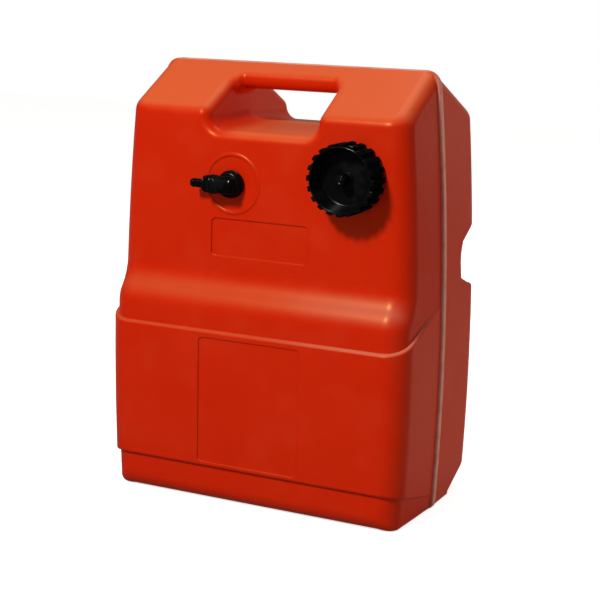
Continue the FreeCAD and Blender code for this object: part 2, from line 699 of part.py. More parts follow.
outside = joined("MultiFuse", "outside", [core, band, rib_opened])
tipped = cut("outside_with_hollow", outside, back_hollow("hand_hollow", "0"))
heeled = cut("outside_with_heel", tipped, heel("heel_slope", "0"))
upper = panel(
    "upper_panel", "upper_panel_half", "upper_panel_bottom", "upper_panel_top",
    "seam_to_face", "upper_panel_sink",
)
lower = panel(
    "lower_panel", "lower_panel_half", "lower_panel_bottom", "lower_panel_top",
    "band_depth", "lower_panel_sink",
)
paneled = cut("outside_with_upper_panel", heeled, upper)
smooth = cut("outside_with_panels", paneled, lower)

neck = facing_body("filler_neck", "filler_x", "filler_z")
turned(neck, "neck_turned", [
    ("0", "-wall / 2"),
    ("neck_outer", "-wall / 2"),
    ("neck_outer", "neck_rise - neck_rim_round", "right", "neck_rim_round"),
    ("neck_outer - neck_rim_round", "neck_rise"),
    ("0", "neck_rise"),
])
ring = facing_body("outlet_ring", "outlet_x", "outlet_z")
turned(ring, "ring_turned", [
    ("pad_ring - pad_ring_width / 2 - pad_ring_rise", "-wall / 2"),
    ("pad_ring + pad_ring_width / 2 + pad_ring_rise", "-wall / 2"),
    ("pad_ring + pad_ring_width / 2 + pad_ring_rise", "0"),
    ("pad_ring + pad_ring_width / 2", "pad_ring_rise"),
    ("pad_ring - pad_ring_width / 2", "pad_ring_rise"),
    ("pad_ring - pad_ring_width / 2 - pad_ring_rise", "0"),
])
necked = joined("MultiFuse", "outside_with_neck", [smooth, neck, ring])

SEAM_TOP = "tank_height - seam_sink - wall + seam_groove"
seam_hollow = seam_plate("seam_hollow", "seam_groove - wall", SEAM_TOP)
inside = joined("MultiFuse", "inside", hollows + [seam_hollow])
guard = doc.addObject("Part::Box", "hand_guard")
guard.setExpression("Length", spell("(hand_half + hand_flare + wall) * 2"))
guard.setExpression("Width", spell("seam_to_front + seam_to_back + overrun * 2"))
guard.setExpression("Height", spell("tank_height"))
guard.setExpression("Placement.Base.x", spell("-hand_half - hand_flare - wall"))
guard.setExpression("Placement.Base.y", spell("-seam_to_front - overrun"))
guard.setExpression("Placement.Base.z", spell("hand_floor - hand_fall - wall"))
doc.recompute()
room = cut("inside_below_hand", inside, guard)
clear_room = cut("inside_with_hollow", room, back_hollow("hollow_wall", "wall"))
fuel_room = cut("fuel_room", clear_room, heel("heel_wall", "wall"))

boss = facing_body("outlet_boss", "outlet_x", "outlet_z")
turned(boss, "boss_turned", [
    ("0", "-boss_depth"),
    ("boss_outer", "-boss_depth"),
    ("boss_outer", "-wall / 2"),
    ("0", "-wall / 2"),
])
bores = []
for name, across, up, radius, low, high in (
    ("neck_hole", "filler_x", "filler_z", "neck_bore", "-wall - overrun", "neck_rise + overrun"),
    ("boss_hole", "outlet_x", "outlet_z", "bush_outer", "-boss_depth - overrun", "overrun"),
):
    hole = facing_body(name, across, up)
    turned(hole, name + "_turned", [("0", low), (radius, low), (radius, high), ("0", high)])
    bores.append(hole)

hollowed = cut("tank_hollowed", necked, fuel_room)
bossed = joined("MultiFuse", "tank_with_boss", [hollowed, boss])
mouthed = cut("tank_with_mouth", bossed, bores[0])
tank = cut("tank_shell", mouthed, bores[1])


# ---- outlet: bush, gasket and fitting -----------------------------------------------------------

outlet_insert = facing_body("outlet_insert", "outlet_x", "outlet_z")
turned(outlet_insert, "outlet_insert_turned", [
    ("bush_thread", "-boss_depth"),
    ("bush_outer", "-boss_depth"),
    ("bush_outer", "-boss_depth * 2 / 3"),
    ("bush_groove", "-boss_depth * 2 / 3"),
    ("bush_groove", "-boss_depth / 3"),
    ("bush_outer", "-boss_depth / 3"),
    ("bush_outer", "0"),
    ("bush_thread", "0"),
])

outlet_gasket = facing_body("outlet_gasket", "outlet_x", "outlet_z")
turned(outlet_gasket, "outlet_gasket_turned", [
    ("fitting_thread", "0"),
    ("outlet_gasket_outer", "0"),
    ("outlet_gasket_outer", "outlet_gasket_thick"),
    ("fitting_thread", "outlet_gasket_thick"),
])

FLANGE_TOP = "outlet_gasket_thick + fitting_flange_thick"
SPIGOT_TOP = "outlet_gasket_thick + fitting_flange_thick + spigot_length"
SEAL_ROOT = "seal_middle - seal_thick / 2"
SEAL_HALF = "seal_thick / 2 + clip_gap"
outlet_fitting = facing_body("outlet_fitting", "outlet_x", "outlet_z")
turned(outlet_fitting, "outlet_fitting_turned", [
    ("fitting_bore", "-tail_end"),
    ("tail_outer", "-tail_end"),
    ("tail_outer", "-fitting_inner_end"),
    ("fitting_thread", "-fitting_inner_end"),
    ("fitting_thread", "outlet_gasket_thick"),
    ("fitting_flange", "outlet_gasket_thick"),
    ("fitting_flange", FLANGE_TOP),
    ("spigot", FLANGE_TOP),
    ("spigot", "snap_start"),
    ("snap_root", "snap_start"),
    ("snap_root", "snap_start + snap_width"),
    ("spigot", "snap_start + snap_width"),
    ("spigot", "seal_place - (%s)" % SEAL_HALF),
    (SEAL_ROOT, "seal_place - (%s)" % SEAL_HALF),
    (SEAL_ROOT, "seal_place + %s" % SEAL_HALF),
    ("spigot", "seal_place + %s" % SEAL_HALF),
    ("spigot", SPIGOT_TOP),
    ("fitting_bore", SPIGOT_TOP),
])


def o_ring(name, across, up, out, middle, thick):
    """A round rubber ring about an outward axis."""
    made = doc.addObject("Part::Torus", name)
    made.Placement = facing(across, up, out)
    made.setExpression("Radius1", spell(middle))
    made.setExpression("Radius2", spell("%s / 2" % thick))
    follow(made, across, up, out)
    doc.recompute()
    return made


def spring_ring(name, across, up, inner, outer, low, high):
    """A flat spring ring with an opening on one side."""
    made = facing_body(name, across, up)
    turned(made, name + "_turned", [(inner, low), (outer, low), (outer, high), (inner, high)])
    slot = sketch(made, name + "_slot", "XY_Plane", low)
    outline(slot, [
        ("-clip_slot / 2", "0"),
        ("clip_slot / 2", "0"),
        ("clip_slot / 2", "%s * 2" % outer),
        ("-clip_slot / 2", "%s * 2" % outer),
    ])
    opening = made.newObject("PartDesign::Pocket", name + "_opening")
    opening.Profile = slot
    opening.Midplane = True
    opening.setExpression("Length", spell("overrun"))
    doc.recompute()
    return made


spigot_o_ring = o_ring("spigot_o_ring", "outlet_x", "outlet_z", "seal_place", "seal_middle", "seal_thick")

# ---- pickup tube and strainer inside the tank ------------------------------------------------------

TUBE_BORE = "tail_outer"
TUBE_OUTER = "tail_outer + tube_wall"
TUBE_START = "-seam_to_face + tail_end - tube_push"
pickup_tube = body("pickup_tube")
pickup_tube.setExpression("Placement.Base.x", spell("outlet_x"))
route = sketch(pickup_tube, "pickup_route", "YZ_Plane")
turn_start = Vector(number("tube_drop - tube_bend"), number("outlet_z"), 0)
turn_end = Vector(number("tube_drop"), number("outlet_z - tube_bend"), 0)
level = route.addGeometry(Part.LineSegment(Vector(number(TUBE_START), number("outlet_z"), 0), turn_start))
bend = route.addGeometry(arc_between(turn_start, turn_end, number("tube_bend"), -1))
drop = route.addGeometry(Part.LineSegment(turn_end, Vector(number("tube_drop"), number("tube_end"), 0)))
route.addConstraint(Sketcher.Constraint("Coincident", level, 2, bend, 2))
route.addConstraint(Sketcher.Constraint("Coincident", bend, 1, drop, 1))
pin(route, level, 1, TUBE_START, "outlet_z")
pin(route, level, 2, "tube_drop - tube_bend", "outlet_z")
pin(route, drop, 1, "tube_drop", "outlet_z - tube_bend")
pin(route, drop, 2, "tube_drop", "tube_end")
held = route.addConstraint(Sketcher.Constraint("Radius", bend, number("tube_bend")))
route.setExpression("Constraints[%d]" % held, spell("tube_bend"))
tube_ring = sketch(pickup_tube, "pickup_section", "XZ_Plane", "-(%s)" % TUBE_START)
circle(tube_ring, "0", "outlet_z", TUBE_OUTER)
circle(tube_ring, "0", "outlet_z", TUBE_BORE)
pipe = pickup_tube.newObject("PartDesign::AdditivePipe", "pickup_pipe")
pipe.Profile = tube_ring
pipe.Spine = (route, ["Edge1", "Edge2", "Edge3"])
doc.recompute()

CLIP_LOW = "-tube_clip_place - tube_clip_width"
pickup_clip = facing_body("pickup_clip", "outlet_x", "outlet_z")
turned(pickup_clip, "pickup_clip_turned", [
    (TUBE_OUTER, CLIP_LOW),
    (TUBE_OUTER + " + tube_clip_wall", CLIP_LOW),
    (TUBE_OUTER + " + tube_clip_wall", "-tube_clip_place"),
    (TUBE_OUTER, "-tube_clip_place"),
])
ears = sketch(pickup_clip, "pickup_clip_ears_outline", "XY_Plane", CLIP_LOW)
outline(ears, [
    ("-tube_clip_wall * 2", TUBE_OUTER + " + tube_clip_wall / 2"),
    ("tube_clip_wall * 2", TUBE_OUTER + " + tube_clip_wall / 2"),
    ("tube_clip_wall", TUBE_OUTER + " + tube_clip_wall * 3"),
    ("-tube_clip_wall", TUBE_OUTER + " + tube_clip_wall * 3"),
])
pad(pickup_clip, "pickup_clip_ears", ears, "tube_clip_width")


def upright_body(name):
    """A body turned about the hanging part of the tube."""
    made = body(name)
    made.setExpression("Placement.Base.x", spell("outlet_x"))
    made.setExpression("Placement.Base.y", spell("tube_drop"))
    return made


strainer_head = upright_body("strainer_head")
turned(strainer_head, "strainer_head_turned", [
    (TUBE_OUTER, "head_bottom"),
    ("strainer_outer", "head_bottom"),
    ("strainer_outer", "head_top - strainer_outer / 3"),
    (TUBE_OUTER + " + tube_wall", "head_top"),
    (TUBE_OUTER, "head_top"),
])
strainer_screen = upright_body("strainer_screen")
turned(strainer_screen, "strainer_screen_turned", [
    ("strainer_outer - screen_wall * 2", "foot_top"),
    ("strainer_outer - screen_wall", "foot_top"),
    ("strainer_outer - screen_wall", "head_bottom"),
    ("strainer_outer - screen_wall * 2", "head_bottom"),
])
strainer_foot = upright_body("strainer_foot")
turned(strainer_foot, "strainer_foot_turned", [
    ("0", "foot_bottom"),
    ("strainer_outer - screen_wall", "foot_bottom"),
    ("strainer_outer", "foot_bottom + screen_wall"),
    ("strainer_outer", "foot_top"),
    ("0", "foot_top"),
])

# ---- swivelling elbow and hose barb -------------------------------------------------------------------

ELBOW_FOOT = FLANGE_TOP + " + elbow_lift"
SOCKET = "spigot + swivel_gap"
RING_LOW = "snap_start + clip_gap"
RING_HIGH = "snap_start + snap_width - clip_gap"
elbow_body = facing_body("elbow_body", "outlet_x", "outlet_z")
turned(elbow_body, "elbow_turned", [
    (SOCKET, ELBOW_FOOT),
    ("elbow_outer", ELBOW_FOOT),
    ("elbow_outer", "elbow_top - elbow_dome", "right", "elbow_dome"),
    ("elbow_outer - elbow_dome", "elbow_top"),
    ("0", "elbow_top"),
    ("0", "chamber_top"),
    ("chamber", "chamber_top"),
    ("chamber", SPIGOT_TOP),
    (SOCKET, SPIGOT_TOP),
    (SOCKET, "snap_start + snap_width"),
    ("snap_outer + clip_gap", "snap_start + snap_width"),
    ("snap_outer + clip_gap", "snap_start"),
    (SOCKET, "snap_start"),
])
for label, radius, reach in (
    ("branch", "branch_outer", "branch_reach"),
    ("branch_screw", "branch_thread", "branch_end"),
):
    round_end = sketch(elbow_body, label + "_outline", "YZ_Plane", "-(%s)" % reach)
    circle(round_end, "0", "branch_place", radius)
    pad(elbow_body, label, round_end, "%s - elbow_outer + elbow_dome" % reach)
passage = sketch(elbow_body, "passage_outline", "YZ_Plane", "-branch_end")
circle(passage, "0", "branch_place", "branch_bore")
passage_cut = elbow_body.newObject("PartDesign::Pocket", "passage")
passage_cut.Profile = passage
passage_cut.Reversed = True
passage_cut.setExpression("Length", spell("branch_end"))
doc.recompute()

elbow_snap_ring = spring_ring(
    "elbow_snap_ring", "outlet_x", "outlet_z", "snap_inner", "snap_outer", RING_LOW, RING_HIGH
)


def branch_body(name):
    """A body turned about the branch, whose own Z looks away from the elbow."""
    base = Vector(number("outlet_x"), -number("seam_to_face + branch_place"), number("outlet_z"))
    made = body(name, Placement(base, Rotation(Vector(0, 1, 0), -90)))
    follow(made, "outlet_x", "outlet_z", "branch_place")
    return made


WASHER_TOP = "branch_end + barb_washer_thick"
COLLAR_TOP = WASHER_TOP + " + barb_collar_thick"
barb_washer = branch_body("barb_washer")
turned(barb_washer, "barb_washer_turned", [
    ("branch_bore", "branch_end"),
    ("barb_collar", "branch_end"),
    ("barb_collar", WASHER_TOP),
    ("branch_bore", WASHER_TOP),
])

TEETH_START = COLLAR_TOP + " + nut_lip"
hose_barb = branch_body("hose_barb")
barb_corners = [
    ("barb_bore", WASHER_TOP),
    ("barb_collar", WASHER_TOP),
    ("barb_collar", COLLAR_TOP),
    ("barb_crest", COLLAR_TOP),
]
for tooth in range(int(number("barb_teeth"))):
    foot = "%s + barb_tooth * %d" % (TEETH_START, tooth)
    barb_corners.append(("barb_crest", foot))
    barb_corners.append(("barb_root", "%s + barb_tooth" % foot))
barb_corners.append(("barb_bore", "%s + barb_tooth * barb_teeth" % TEETH_START))
turned(hose_barb, "hose_barb_turned", barb_corners)

barb_nut = branch_body("barb_nut")
NUT_FOOT = "branch_reach + nut_start_gap"
NUT_TOP = COLLAR_TOP + " + nut_lip"
turned(barb_nut, "barb_nut_turned", [
    ("branch_thread + nut_thread_gap", NUT_FOOT),
    ("nut_outer", NUT_FOOT),
    ("nut_outer", NUT_TOP + " - nut_lip / 2"),
    ("nut_outer - nut_lip / 2", NUT_TOP),
    ("barb_crest + nut_thread_gap", NUT_TOP),
    ("barb_crest + nut_thread_gap", COLLAR_TOP),
    ("branch_thread + nut_thread_gap", COLLAR_TOP),
])
groove_end = sketch(barb_nut, "nut_groove_outline", "XY_Plane", NUT_FOOT)
circle(groove_end, "nut_outer", "0", "nut_groove")
groove = barb_nut.newObject("PartDesign::Pocket", "nut_groove")
groove.Profile = groove_end
groove.Reversed = True
groove.setExpression("Length", spell("overrun"))
doc.recompute()
around(barb_nut, "nut_grooves", groove, groove_end, "nut_ridges")

# ---- filler cap ---------------------------------------------------------------------------------------

GASKET_TOP = "neck_rise + gasket_thick"
SLIP_TOP = GASKET_TOP + " + slip_thick"
PLATE_BACK = "dish_floor - cap_plate"
cap_gasket = facing_body("cap_gasket", "filler_x", "filler_z")
turned(cap_gasket, "cap_gasket_turned", [
    ("gasket_inner", "neck_rise"),
    ("gasket_outer", "neck_rise"),
    ("gasket_outer", GASKET_TOP),
    ("gasket_inner", GASKET_TOP),
])
slip_washer = facing_body("slip_washer", "filler_x", "filler_z")
turned(slip_washer, "slip_washer_turned", [
    ("gasket_inner", GASKET_TOP),
    ("gasket_outer", GASKET_TOP),
    ("gasket_outer", SLIP_TOP),
    ("gasket_inner", SLIP_TOP),
])
cap_shell = facing_body("cap_shell", "filler_x", "filler_z")
turned(cap_shell, "cap_shell_turned", [
    ("cap_skirt_inner", "cap_skirt_foot"),
    ("cap_root", "cap_skirt_foot"),
    ("cap_root", "cap_front"),
    ("dish_rim", "cap_front"),
    ("dish_foot", "dish_floor"),
    ("vent_bush_outer", "dish_floor"),
    ("vent_bush_outer", PLATE_BACK),
    ("cap_skirt_inner", PLATE_BACK),
])
lug_outline = sketch(cap_shell, "lug_outline", "XY_Plane", "cap_skirt_foot")
LUG_HALF = "3.1416 * cap_tip / cap_lugs / 2"
outline(lug_outline, [
    ("cap_root - lug_round", "-(%s)" % LUG_HALF),
    ("cap_tip - lug_round", "-(%s)" % LUG_HALF, "right", "lug_round"),
    ("cap_tip", "-(%s) + lug_round" % LUG_HALF),
    ("cap_tip", "%s - lug_round" % LUG_HALF, "right", "lug_round"),
    ("cap_tip - lug_round", LUG_HALF),
    ("cap_root - lug_round", LUG_HALF),
])
lug = pad(cap_shell, "finger_lug", lug_outline, "cap_front - cap_skirt_foot")
around(cap_shell, "finger_lugs", lug, lug_outline, "cap_lugs")

# ---- vent in the cap ------------------------------------------------------------------------------------

FLANGE_OUT = "dish_floor + vent_flange_thick"
KNOB_FOOT = FLANGE_OUT + " + vent_ring_thick"
vent_insert = facing_body("vent_insert", "filler_x", "filler_z")
turned(vent_insert, "vent_insert_turned", [
    ("vent_stem + vent_running_gap", "vent_bush_inner_end"),
    ("vent_bush_outer", "vent_bush_inner_end"),
    ("vent_bush_outer", "dish_floor"),
    ("vent_bush_flange", "dish_floor"),
    ("vent_bush_flange", FLANGE_OUT),
    ("vent_stem + vent_running_gap", FLANGE_OUT),
])
vent_o_ring = o_ring(
    "vent_o_ring", "filler_x", "filler_z", FLANGE_OUT + " + vent_ring_thick / 2",
    "vent_ring_middle", "vent_ring_thick",
)
vent_screw = facing_body("vent_screw", "filler_x", "filler_z")
turned(vent_screw, "vent_screw_turned", [
    ("0", "vent_stem_end - vent_clip_thick"),
    ("vent_stem", "vent_stem_end - vent_clip_thick"),
    ("vent_stem", "vent_clip_place - clip_gap"),
    ("vent_groove", "vent_clip_place - clip_gap"),
    ("vent_groove", "vent_clip_place + vent_clip_thick + clip_gap"),
    ("vent_stem", "vent_clip_place + vent_clip_thick + clip_gap"),
    ("vent_stem", KNOB_FOOT),
    ("vent_knob", KNOB_FOOT),
    ("vent_knob", KNOB_FOOT + " + vent_knob_height - vent_flute"),
    ("vent_knob - vent_flute", KNOB_FOOT + " + vent_knob_height"),
    ("0", KNOB_FOOT + " + vent_knob_height"),
])
flute_end = sketch(vent_screw, "knob_flute_outline", "XY_Plane", KNOB_FOOT)
circle(flute_end, "vent_knob", "0", "vent_flute")
flute = vent_screw.newObject("PartDesign::Pocket", "knob_flute")
flute.Profile = flute_end
flute.Reversed = True
flute.setExpression("Length", spell("overrun"))
doc.recompute()
around(vent_screw, "knob_flutes", flute, flute_end, "vent_knob_flutes")
vent_clip = spring_ring(
    "vent_clip", "filler_x", "filler_z", "vent_groove + clip_gap", "vent_clip_outer",
    "vent_clip_place", "vent_clip_place + vent_clip_thick",
)

# ---- write every part ---------------------------------------------------------------------------------

PARTS = [
    tank, outlet_insert, outlet_gasket, outlet_fitting, pickup_tube, pickup_clip, strainer_head,
    strainer_screen, strainer_foot, spigot_o_ring, elbow_body, elbow_snap_ring, barb_washer,
    hose_barb, barb_nut, cap_shell, cap_gasket, slip_washer, vent_insert, vent_o_ring,
    vent_screw, vent_clip,
]

doc.recompute()
for obj in doc.Objects:
    if "Invalid" in obj.State or "Error" in obj.State:
        raise ValueError("%s isn't sound: %s" % (obj.Name, obj.State))
os.makedirs("parts", exist_ok=True)
for obj in PARTS:
    obj.Label = obj.Name
    if obj.Shape.isNull() or not obj.Shape.isValid():
        raise ValueError("%s has no sound shape" % obj.Name)
    obj.Shape.exportStep("parts/%s.step" % obj.Label)
    print(obj.Label, len(obj.Shape.Solids), round(obj.Shape.Volume))
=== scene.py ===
# %% [markdown]
# # Portable outboard fuel tank: the looks
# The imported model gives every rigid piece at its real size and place. This lesson dresses it: it
# gives each piece its finish, adds fine detail that the solids leave out, such as threads and
# rounded inner corners, and sets up a plain studio. Everything is in metres, with the tank standing
# on its base and its filler cap and hose outlet facing -Y.

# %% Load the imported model
import math

import bpy
from mathutils import Euler, Matrix, Vector


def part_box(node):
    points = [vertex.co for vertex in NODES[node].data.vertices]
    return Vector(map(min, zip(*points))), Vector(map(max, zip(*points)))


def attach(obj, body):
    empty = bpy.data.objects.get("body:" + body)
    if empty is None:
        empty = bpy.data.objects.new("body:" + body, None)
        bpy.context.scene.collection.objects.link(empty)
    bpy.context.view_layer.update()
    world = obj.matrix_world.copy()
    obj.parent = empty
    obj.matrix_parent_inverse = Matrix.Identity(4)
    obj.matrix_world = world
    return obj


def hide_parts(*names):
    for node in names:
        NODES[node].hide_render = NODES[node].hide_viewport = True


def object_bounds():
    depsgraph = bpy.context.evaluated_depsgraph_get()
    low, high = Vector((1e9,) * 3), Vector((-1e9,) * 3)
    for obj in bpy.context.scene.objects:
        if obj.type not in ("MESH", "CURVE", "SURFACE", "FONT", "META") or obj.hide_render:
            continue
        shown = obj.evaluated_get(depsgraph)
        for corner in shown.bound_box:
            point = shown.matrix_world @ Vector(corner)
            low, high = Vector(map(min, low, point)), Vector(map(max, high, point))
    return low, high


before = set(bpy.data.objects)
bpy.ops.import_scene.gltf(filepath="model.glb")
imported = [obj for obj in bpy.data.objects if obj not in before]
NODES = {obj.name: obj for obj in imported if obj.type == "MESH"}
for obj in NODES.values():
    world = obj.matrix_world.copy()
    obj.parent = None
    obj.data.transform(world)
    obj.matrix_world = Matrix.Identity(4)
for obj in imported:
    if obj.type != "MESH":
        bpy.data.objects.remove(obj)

CAD_BOX = [list(corner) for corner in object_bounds()]
MM = 0.001
bpy.ops.object.select_all(action="DESELECT")
print("packed nodes:", len(NODES), "box:", CAD_BOX)

# %% [markdown]
# ## Where the main axes are
# The cap, its vent and the elbow are round, so most of their detail is placed about two axes that
# look out of the upper face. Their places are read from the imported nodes, so that they stay right
# if the tank changes size.

# %% Axes read from the model
def middle(node):
    """The middle of a node's box."""
    low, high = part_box(node)
    return (low + high) / 2


FILLER = middle("cap_gasket")
OUTLET = middle("outlet_gasket")
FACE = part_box("outlet_gasket")[1].y
print("filler axis", FILLER, "outlet axis", OUTLET, "face at", FACE)

# %% [markdown]
# ## Small tools for node trees
# The studio's world, its floor and every finish are trees of nodes, and short helpers keep the
# trees readable. The first adds a node with its inputs and settings. The others map a value with a
# smooth step, do sums, mix two colours, pick between two shaders and start a material. Written out
# node by node, the same trees would be longer and harder to change.


# %% Node helpers
def add(tree, kind, inputs=None, **settings):
    """Add a node. An input is a value, or a socket to link from."""
    node = tree.nodes.new("ShaderNode" + kind)
    for name, value in settings.items():
        setattr(node, name, value)
    for name, value in (inputs or {}).items():
        socket = node.inputs[name]
        if isinstance(value, bpy.types.NodeSocket):
            tree.links.new(value, socket)
        else:
            socket.default_value = value
    return node


def ramp(tree, source, low, high, at_low=0.0, at_high=1.0):
    """Map source from low..high to at_low..at_high, held at its ends, with a smooth step."""
    node = add(tree, "MapRange", {
        "Value": source, "From Min": low, "From Max": high, "To Min": at_low, "To Max": at_high,
    }, interpolation_type="SMOOTHSTEP")
    return node.outputs["Result"]


def math_node(tree, operation, first, *others):
    """One operation on a value or two, and then again with each further value."""
    inputs = dict(enumerate((first, *others[:1])))
    result = add(tree, "Math", inputs, operation=operation).outputs[0]
    for value in others[1:]:
        result = add(tree, "Math", {0: result, 1: value}, operation=operation).outputs[0]
    return result


def blend_colour(tree, share, first, second):
    """Mix two colours by a share."""
    return add(tree, "Mix", {0: share, 6: first, 7: second}, data_type="RGBA").outputs[2]


def pick_shader(tree, share, first, second):
    """Show one shader node where the share is 0, and the other where it is 1."""
    return add(tree, "MixShader", {0: share, 1: first.outputs[0], 2: second.outputs[0]})


def new_material(name):
    """A material, its tree and its Principled shader."""
    material = bpy.data.materials.new(name)
    material.use_nodes = True
    return material, material.node_tree, material.node_tree.nodes["Principled BSDF"]


print("node helpers ready")

# %% [markdown]
# ## The studio
# The tank stands on a sheet of white paper that sweeps up behind it, in a dim room. One lamp, high
# up and almost straight in front, models the shapes: it makes the sloping roof the brightest face
# and throws the cap's shadow down the upper face. The front therefore mirrors the dim room, and
# the right side mirrors the paper behind it, which gives that side its warm, pale sheen. The paper
# is only so wide, so the front half of the side, which leans a little forwards, mirrors the room
# beside it. A weak lamp above and behind lifts the top, and one low down behind lights the right
# side and is hidden from mirrored rays. The rest is in the world and in the floor, told apart by
# Light Path: camera rays see plain white, mirrored rays see paper and room, and only a low light, a
# little stronger from behind, falls on the tank.

# %% World
EVEN_LIGHT, BACK_LIGHT = 0.20, 0.34
PAPER, ROOM, PAPER_TINT = 0.33, 0.06, (1.0, 0.92, 0.68, 1)
# How far a direction points backwards, from -1 to 1, where the light grows and the paper starts.
LIGHT_GROWS, PAPER_STARTS = (-0.2, 0.6), (0.82, 0.92)

world = bpy.data.worlds.new("studio")
bpy.context.scene.world = world
world.use_nodes = True
sky = world.node_tree
sky.nodes.clear()
ray = add(sky, "LightPath")
direction = add(sky, "SeparateXYZ", {0: add(sky, "TexCoord").outputs["Generated"]})
backwards = direction.outputs["Y"]
even = add(sky, "Background", {
    "Color": (1.0, 0.98, 0.95, 1),
    "Strength": ramp(sky, backwards, *LIGHT_GROWS, EVEN_LIGHT, BACK_LIGHT),
})
mirrored = add(sky, "Background", {
    "Color": PAPER_TINT, "Strength": ramp(sky, backwards, *PAPER_STARTS, ROOM, PAPER),
})
white = add(sky, "Background", {"Color": (1, 1, 1, 1)})
unseen = pick_shader(sky, ray.outputs["Is Glossy Ray"], even, mirrored)
shown = pick_shader(sky, ray.outputs["Is Camera Ray"], unseen, white)
add(sky, "OutputWorld", {"Surface": shown.outputs[0]})
print("world: even light", EVEN_LIGHT, "to", BACK_LIGHT)

# %% Floor
FLOOR_SIZE, FLOOR_GLOW = 8, 0.74
PAPER_EDGE, EDGE_BLUR = 0.92, 0.06
PAPER_FRONT, FRONT_BLUR = -0.25, 0.5

bpy.ops.mesh.primitive_plane_add(size=FLOOR_SIZE, location=(0, 0, 0))
floor = bpy.context.object
floor.name = "floor"
floor_paint, tree, shader = new_material("floor_paint")
shader.inputs["Base Color"].default_value = (0.9, 0.9, 0.9, 1)
shader.inputs["Roughness"].default_value = 0.9
shader.inputs["Specular IOR Level"].default_value = 0.0
spot = add(tree, "SeparateXYZ", {0: add(tree, "TexCoord").outputs["Object"]})
across = ramp(tree, spot.outputs["X"], PAPER_EDGE - EDGE_BLUR, PAPER_EDGE + EDGE_BLUR, 1.0, 0.0)
along = ramp(tree, spot.outputs["Y"], PAPER_FRONT, PAPER_FRONT + FRONT_BLUR)
on_paper = math_node(tree, "MULTIPLY", across, along)
mirrored = add(tree, "Emission", {
    "Color": PAPER_TINT, "Strength": ramp(tree, on_paper, 0.0, 1.0, ROOM, PAPER),
})
dull = add(tree, "BsdfDiffuse", {"Color": (0.45, 0.44, 0.43, 1)})
glow = add(tree, "Emission", {"Strength": FLOOR_GLOW})
bright = add(tree, "AddShader", {0: shader.outputs[0], 1: glow.outputs[0]})
ray = add(tree, "LightPath")
unseen = pick_shader(tree, ray.outputs["Is Glossy Ray"], dull, mirrored)
shown = pick_shader(tree, ray.outputs["Is Camera Ray"], unseen, bright)
tree.links.new(shown.outputs[0], tree.nodes["Material Output"].inputs["Surface"])
floor.data.materials.append(floor_paint)
print("floor", floor.dimensions[:])


# %% Lamps
def lamp(name, place, target, size, power, tint):
    """A soft lamp that looks at a target."""
    data = bpy.data.lights.new(name, "AREA")
    data.shape = "RECTANGLE"
    data.size, data.size_y = size
    data.energy = power
    data.color = tint
    made = bpy.data.objects.new(name, data)
    bpy.context.scene.collection.objects.link(made)
    made.location = place
    look = Vector(target) - Vector(place)
    made.rotation_euler = look.to_track_quat("-Z", "Y").to_euler()
    return made


lamp("key", (-0.28, -1.85, 1.85), (0, -0.05, 0.25), (0.34, 0.34), 53, (1.0, 0.98, 0.95))
lamp("top_back", (0.1, 0.7, 2.0), (0, 0, 0.35), (1.2, 0.8), 6, (1.0, 0.97, 0.93))
side = lamp("side_back", (0.95, 1.85, 0.32), (0.1, 0, 0.12), (0.7, 0.6), 19, (1.0, 0.96, 0.84))
side.visible_glossy = False

# %% [markdown]
# ## The camera
# It stands a little above the tank and to its right, far back with a long lens, so that the upright
# edges stay nearly parallel.

# %% Camera
CAMERA_PLACE, LENS, SENSOR = (0.7051, -1.4203, 0.5418), 92.0, 36
TURN, DIP, ROLL = math.radians(26.17), math.radians(12.08), math.radians(1.35)

camera_data = bpy.data.cameras.new("camera")
camera_data.sensor_width = SENSOR
camera_data.lens = LENS
camera = bpy.data.objects.new("camera", camera_data)
bpy.context.scene.collection.objects.link(camera)
camera.location = CAMERA_PLACE
aim = Euler((math.pi / 2 - DIP, 0, TURN)).to_matrix() @ Matrix.Rotation(ROLL, 3, "Z")
camera.rotation_euler = aim.to_euler()
bpy.context.scene.camera = camera
bpy.context.scene.view_settings.view_transform = "Standard"
print("camera at", tuple(camera.location))

# %% [markdown]
# ## Effects that several finishes share
# Moulded plastic is never quite smooth. Blown or injected plastic takes the mould's fine grain, so
# the first group is a fine pebbled height. Handling leaves short hairline scratches and rubbed
# patches, so the second group gives a scratch height and a rubbed mask. Dust and dulling vary
# slowly over a surface, so the third group is a slow mottle. All patterns read Object coordinates,
# which are metres in the tank's own frame, because every piece has its place in its mesh.


# %% Group helpers
def object_place(tree):
    """Where a point lies, in metres in the tank's own frame."""
    return add(tree, "TexCoord").outputs["Object"]


def start_group(name, inputs, outputs):
    """A shader node group with number inputs and named outputs, and its two end nodes."""
    group = bpy.data.node_groups.new(name, "ShaderNodeTree")
    for label, default in inputs:
        socket = group.interface.new_socket(label, in_out="INPUT", socket_type="NodeSocketFloat")
        socket.default_value = default
    for label in outputs:
        group.interface.new_socket(label, in_out="OUTPUT", socket_type="NodeSocketFloat")
    return group, group.nodes.new("NodeGroupInput"), group.nodes.new("NodeGroupOutput")


def use_group(tree, group, **values):
    """Place a group in a tree with its own values."""
    node = tree.nodes.new("ShaderNodeGroup")
    node.node_tree = group
    for name, value in values.items():
        node.inputs[name].default_value = value
    return node


print("group helpers ready")

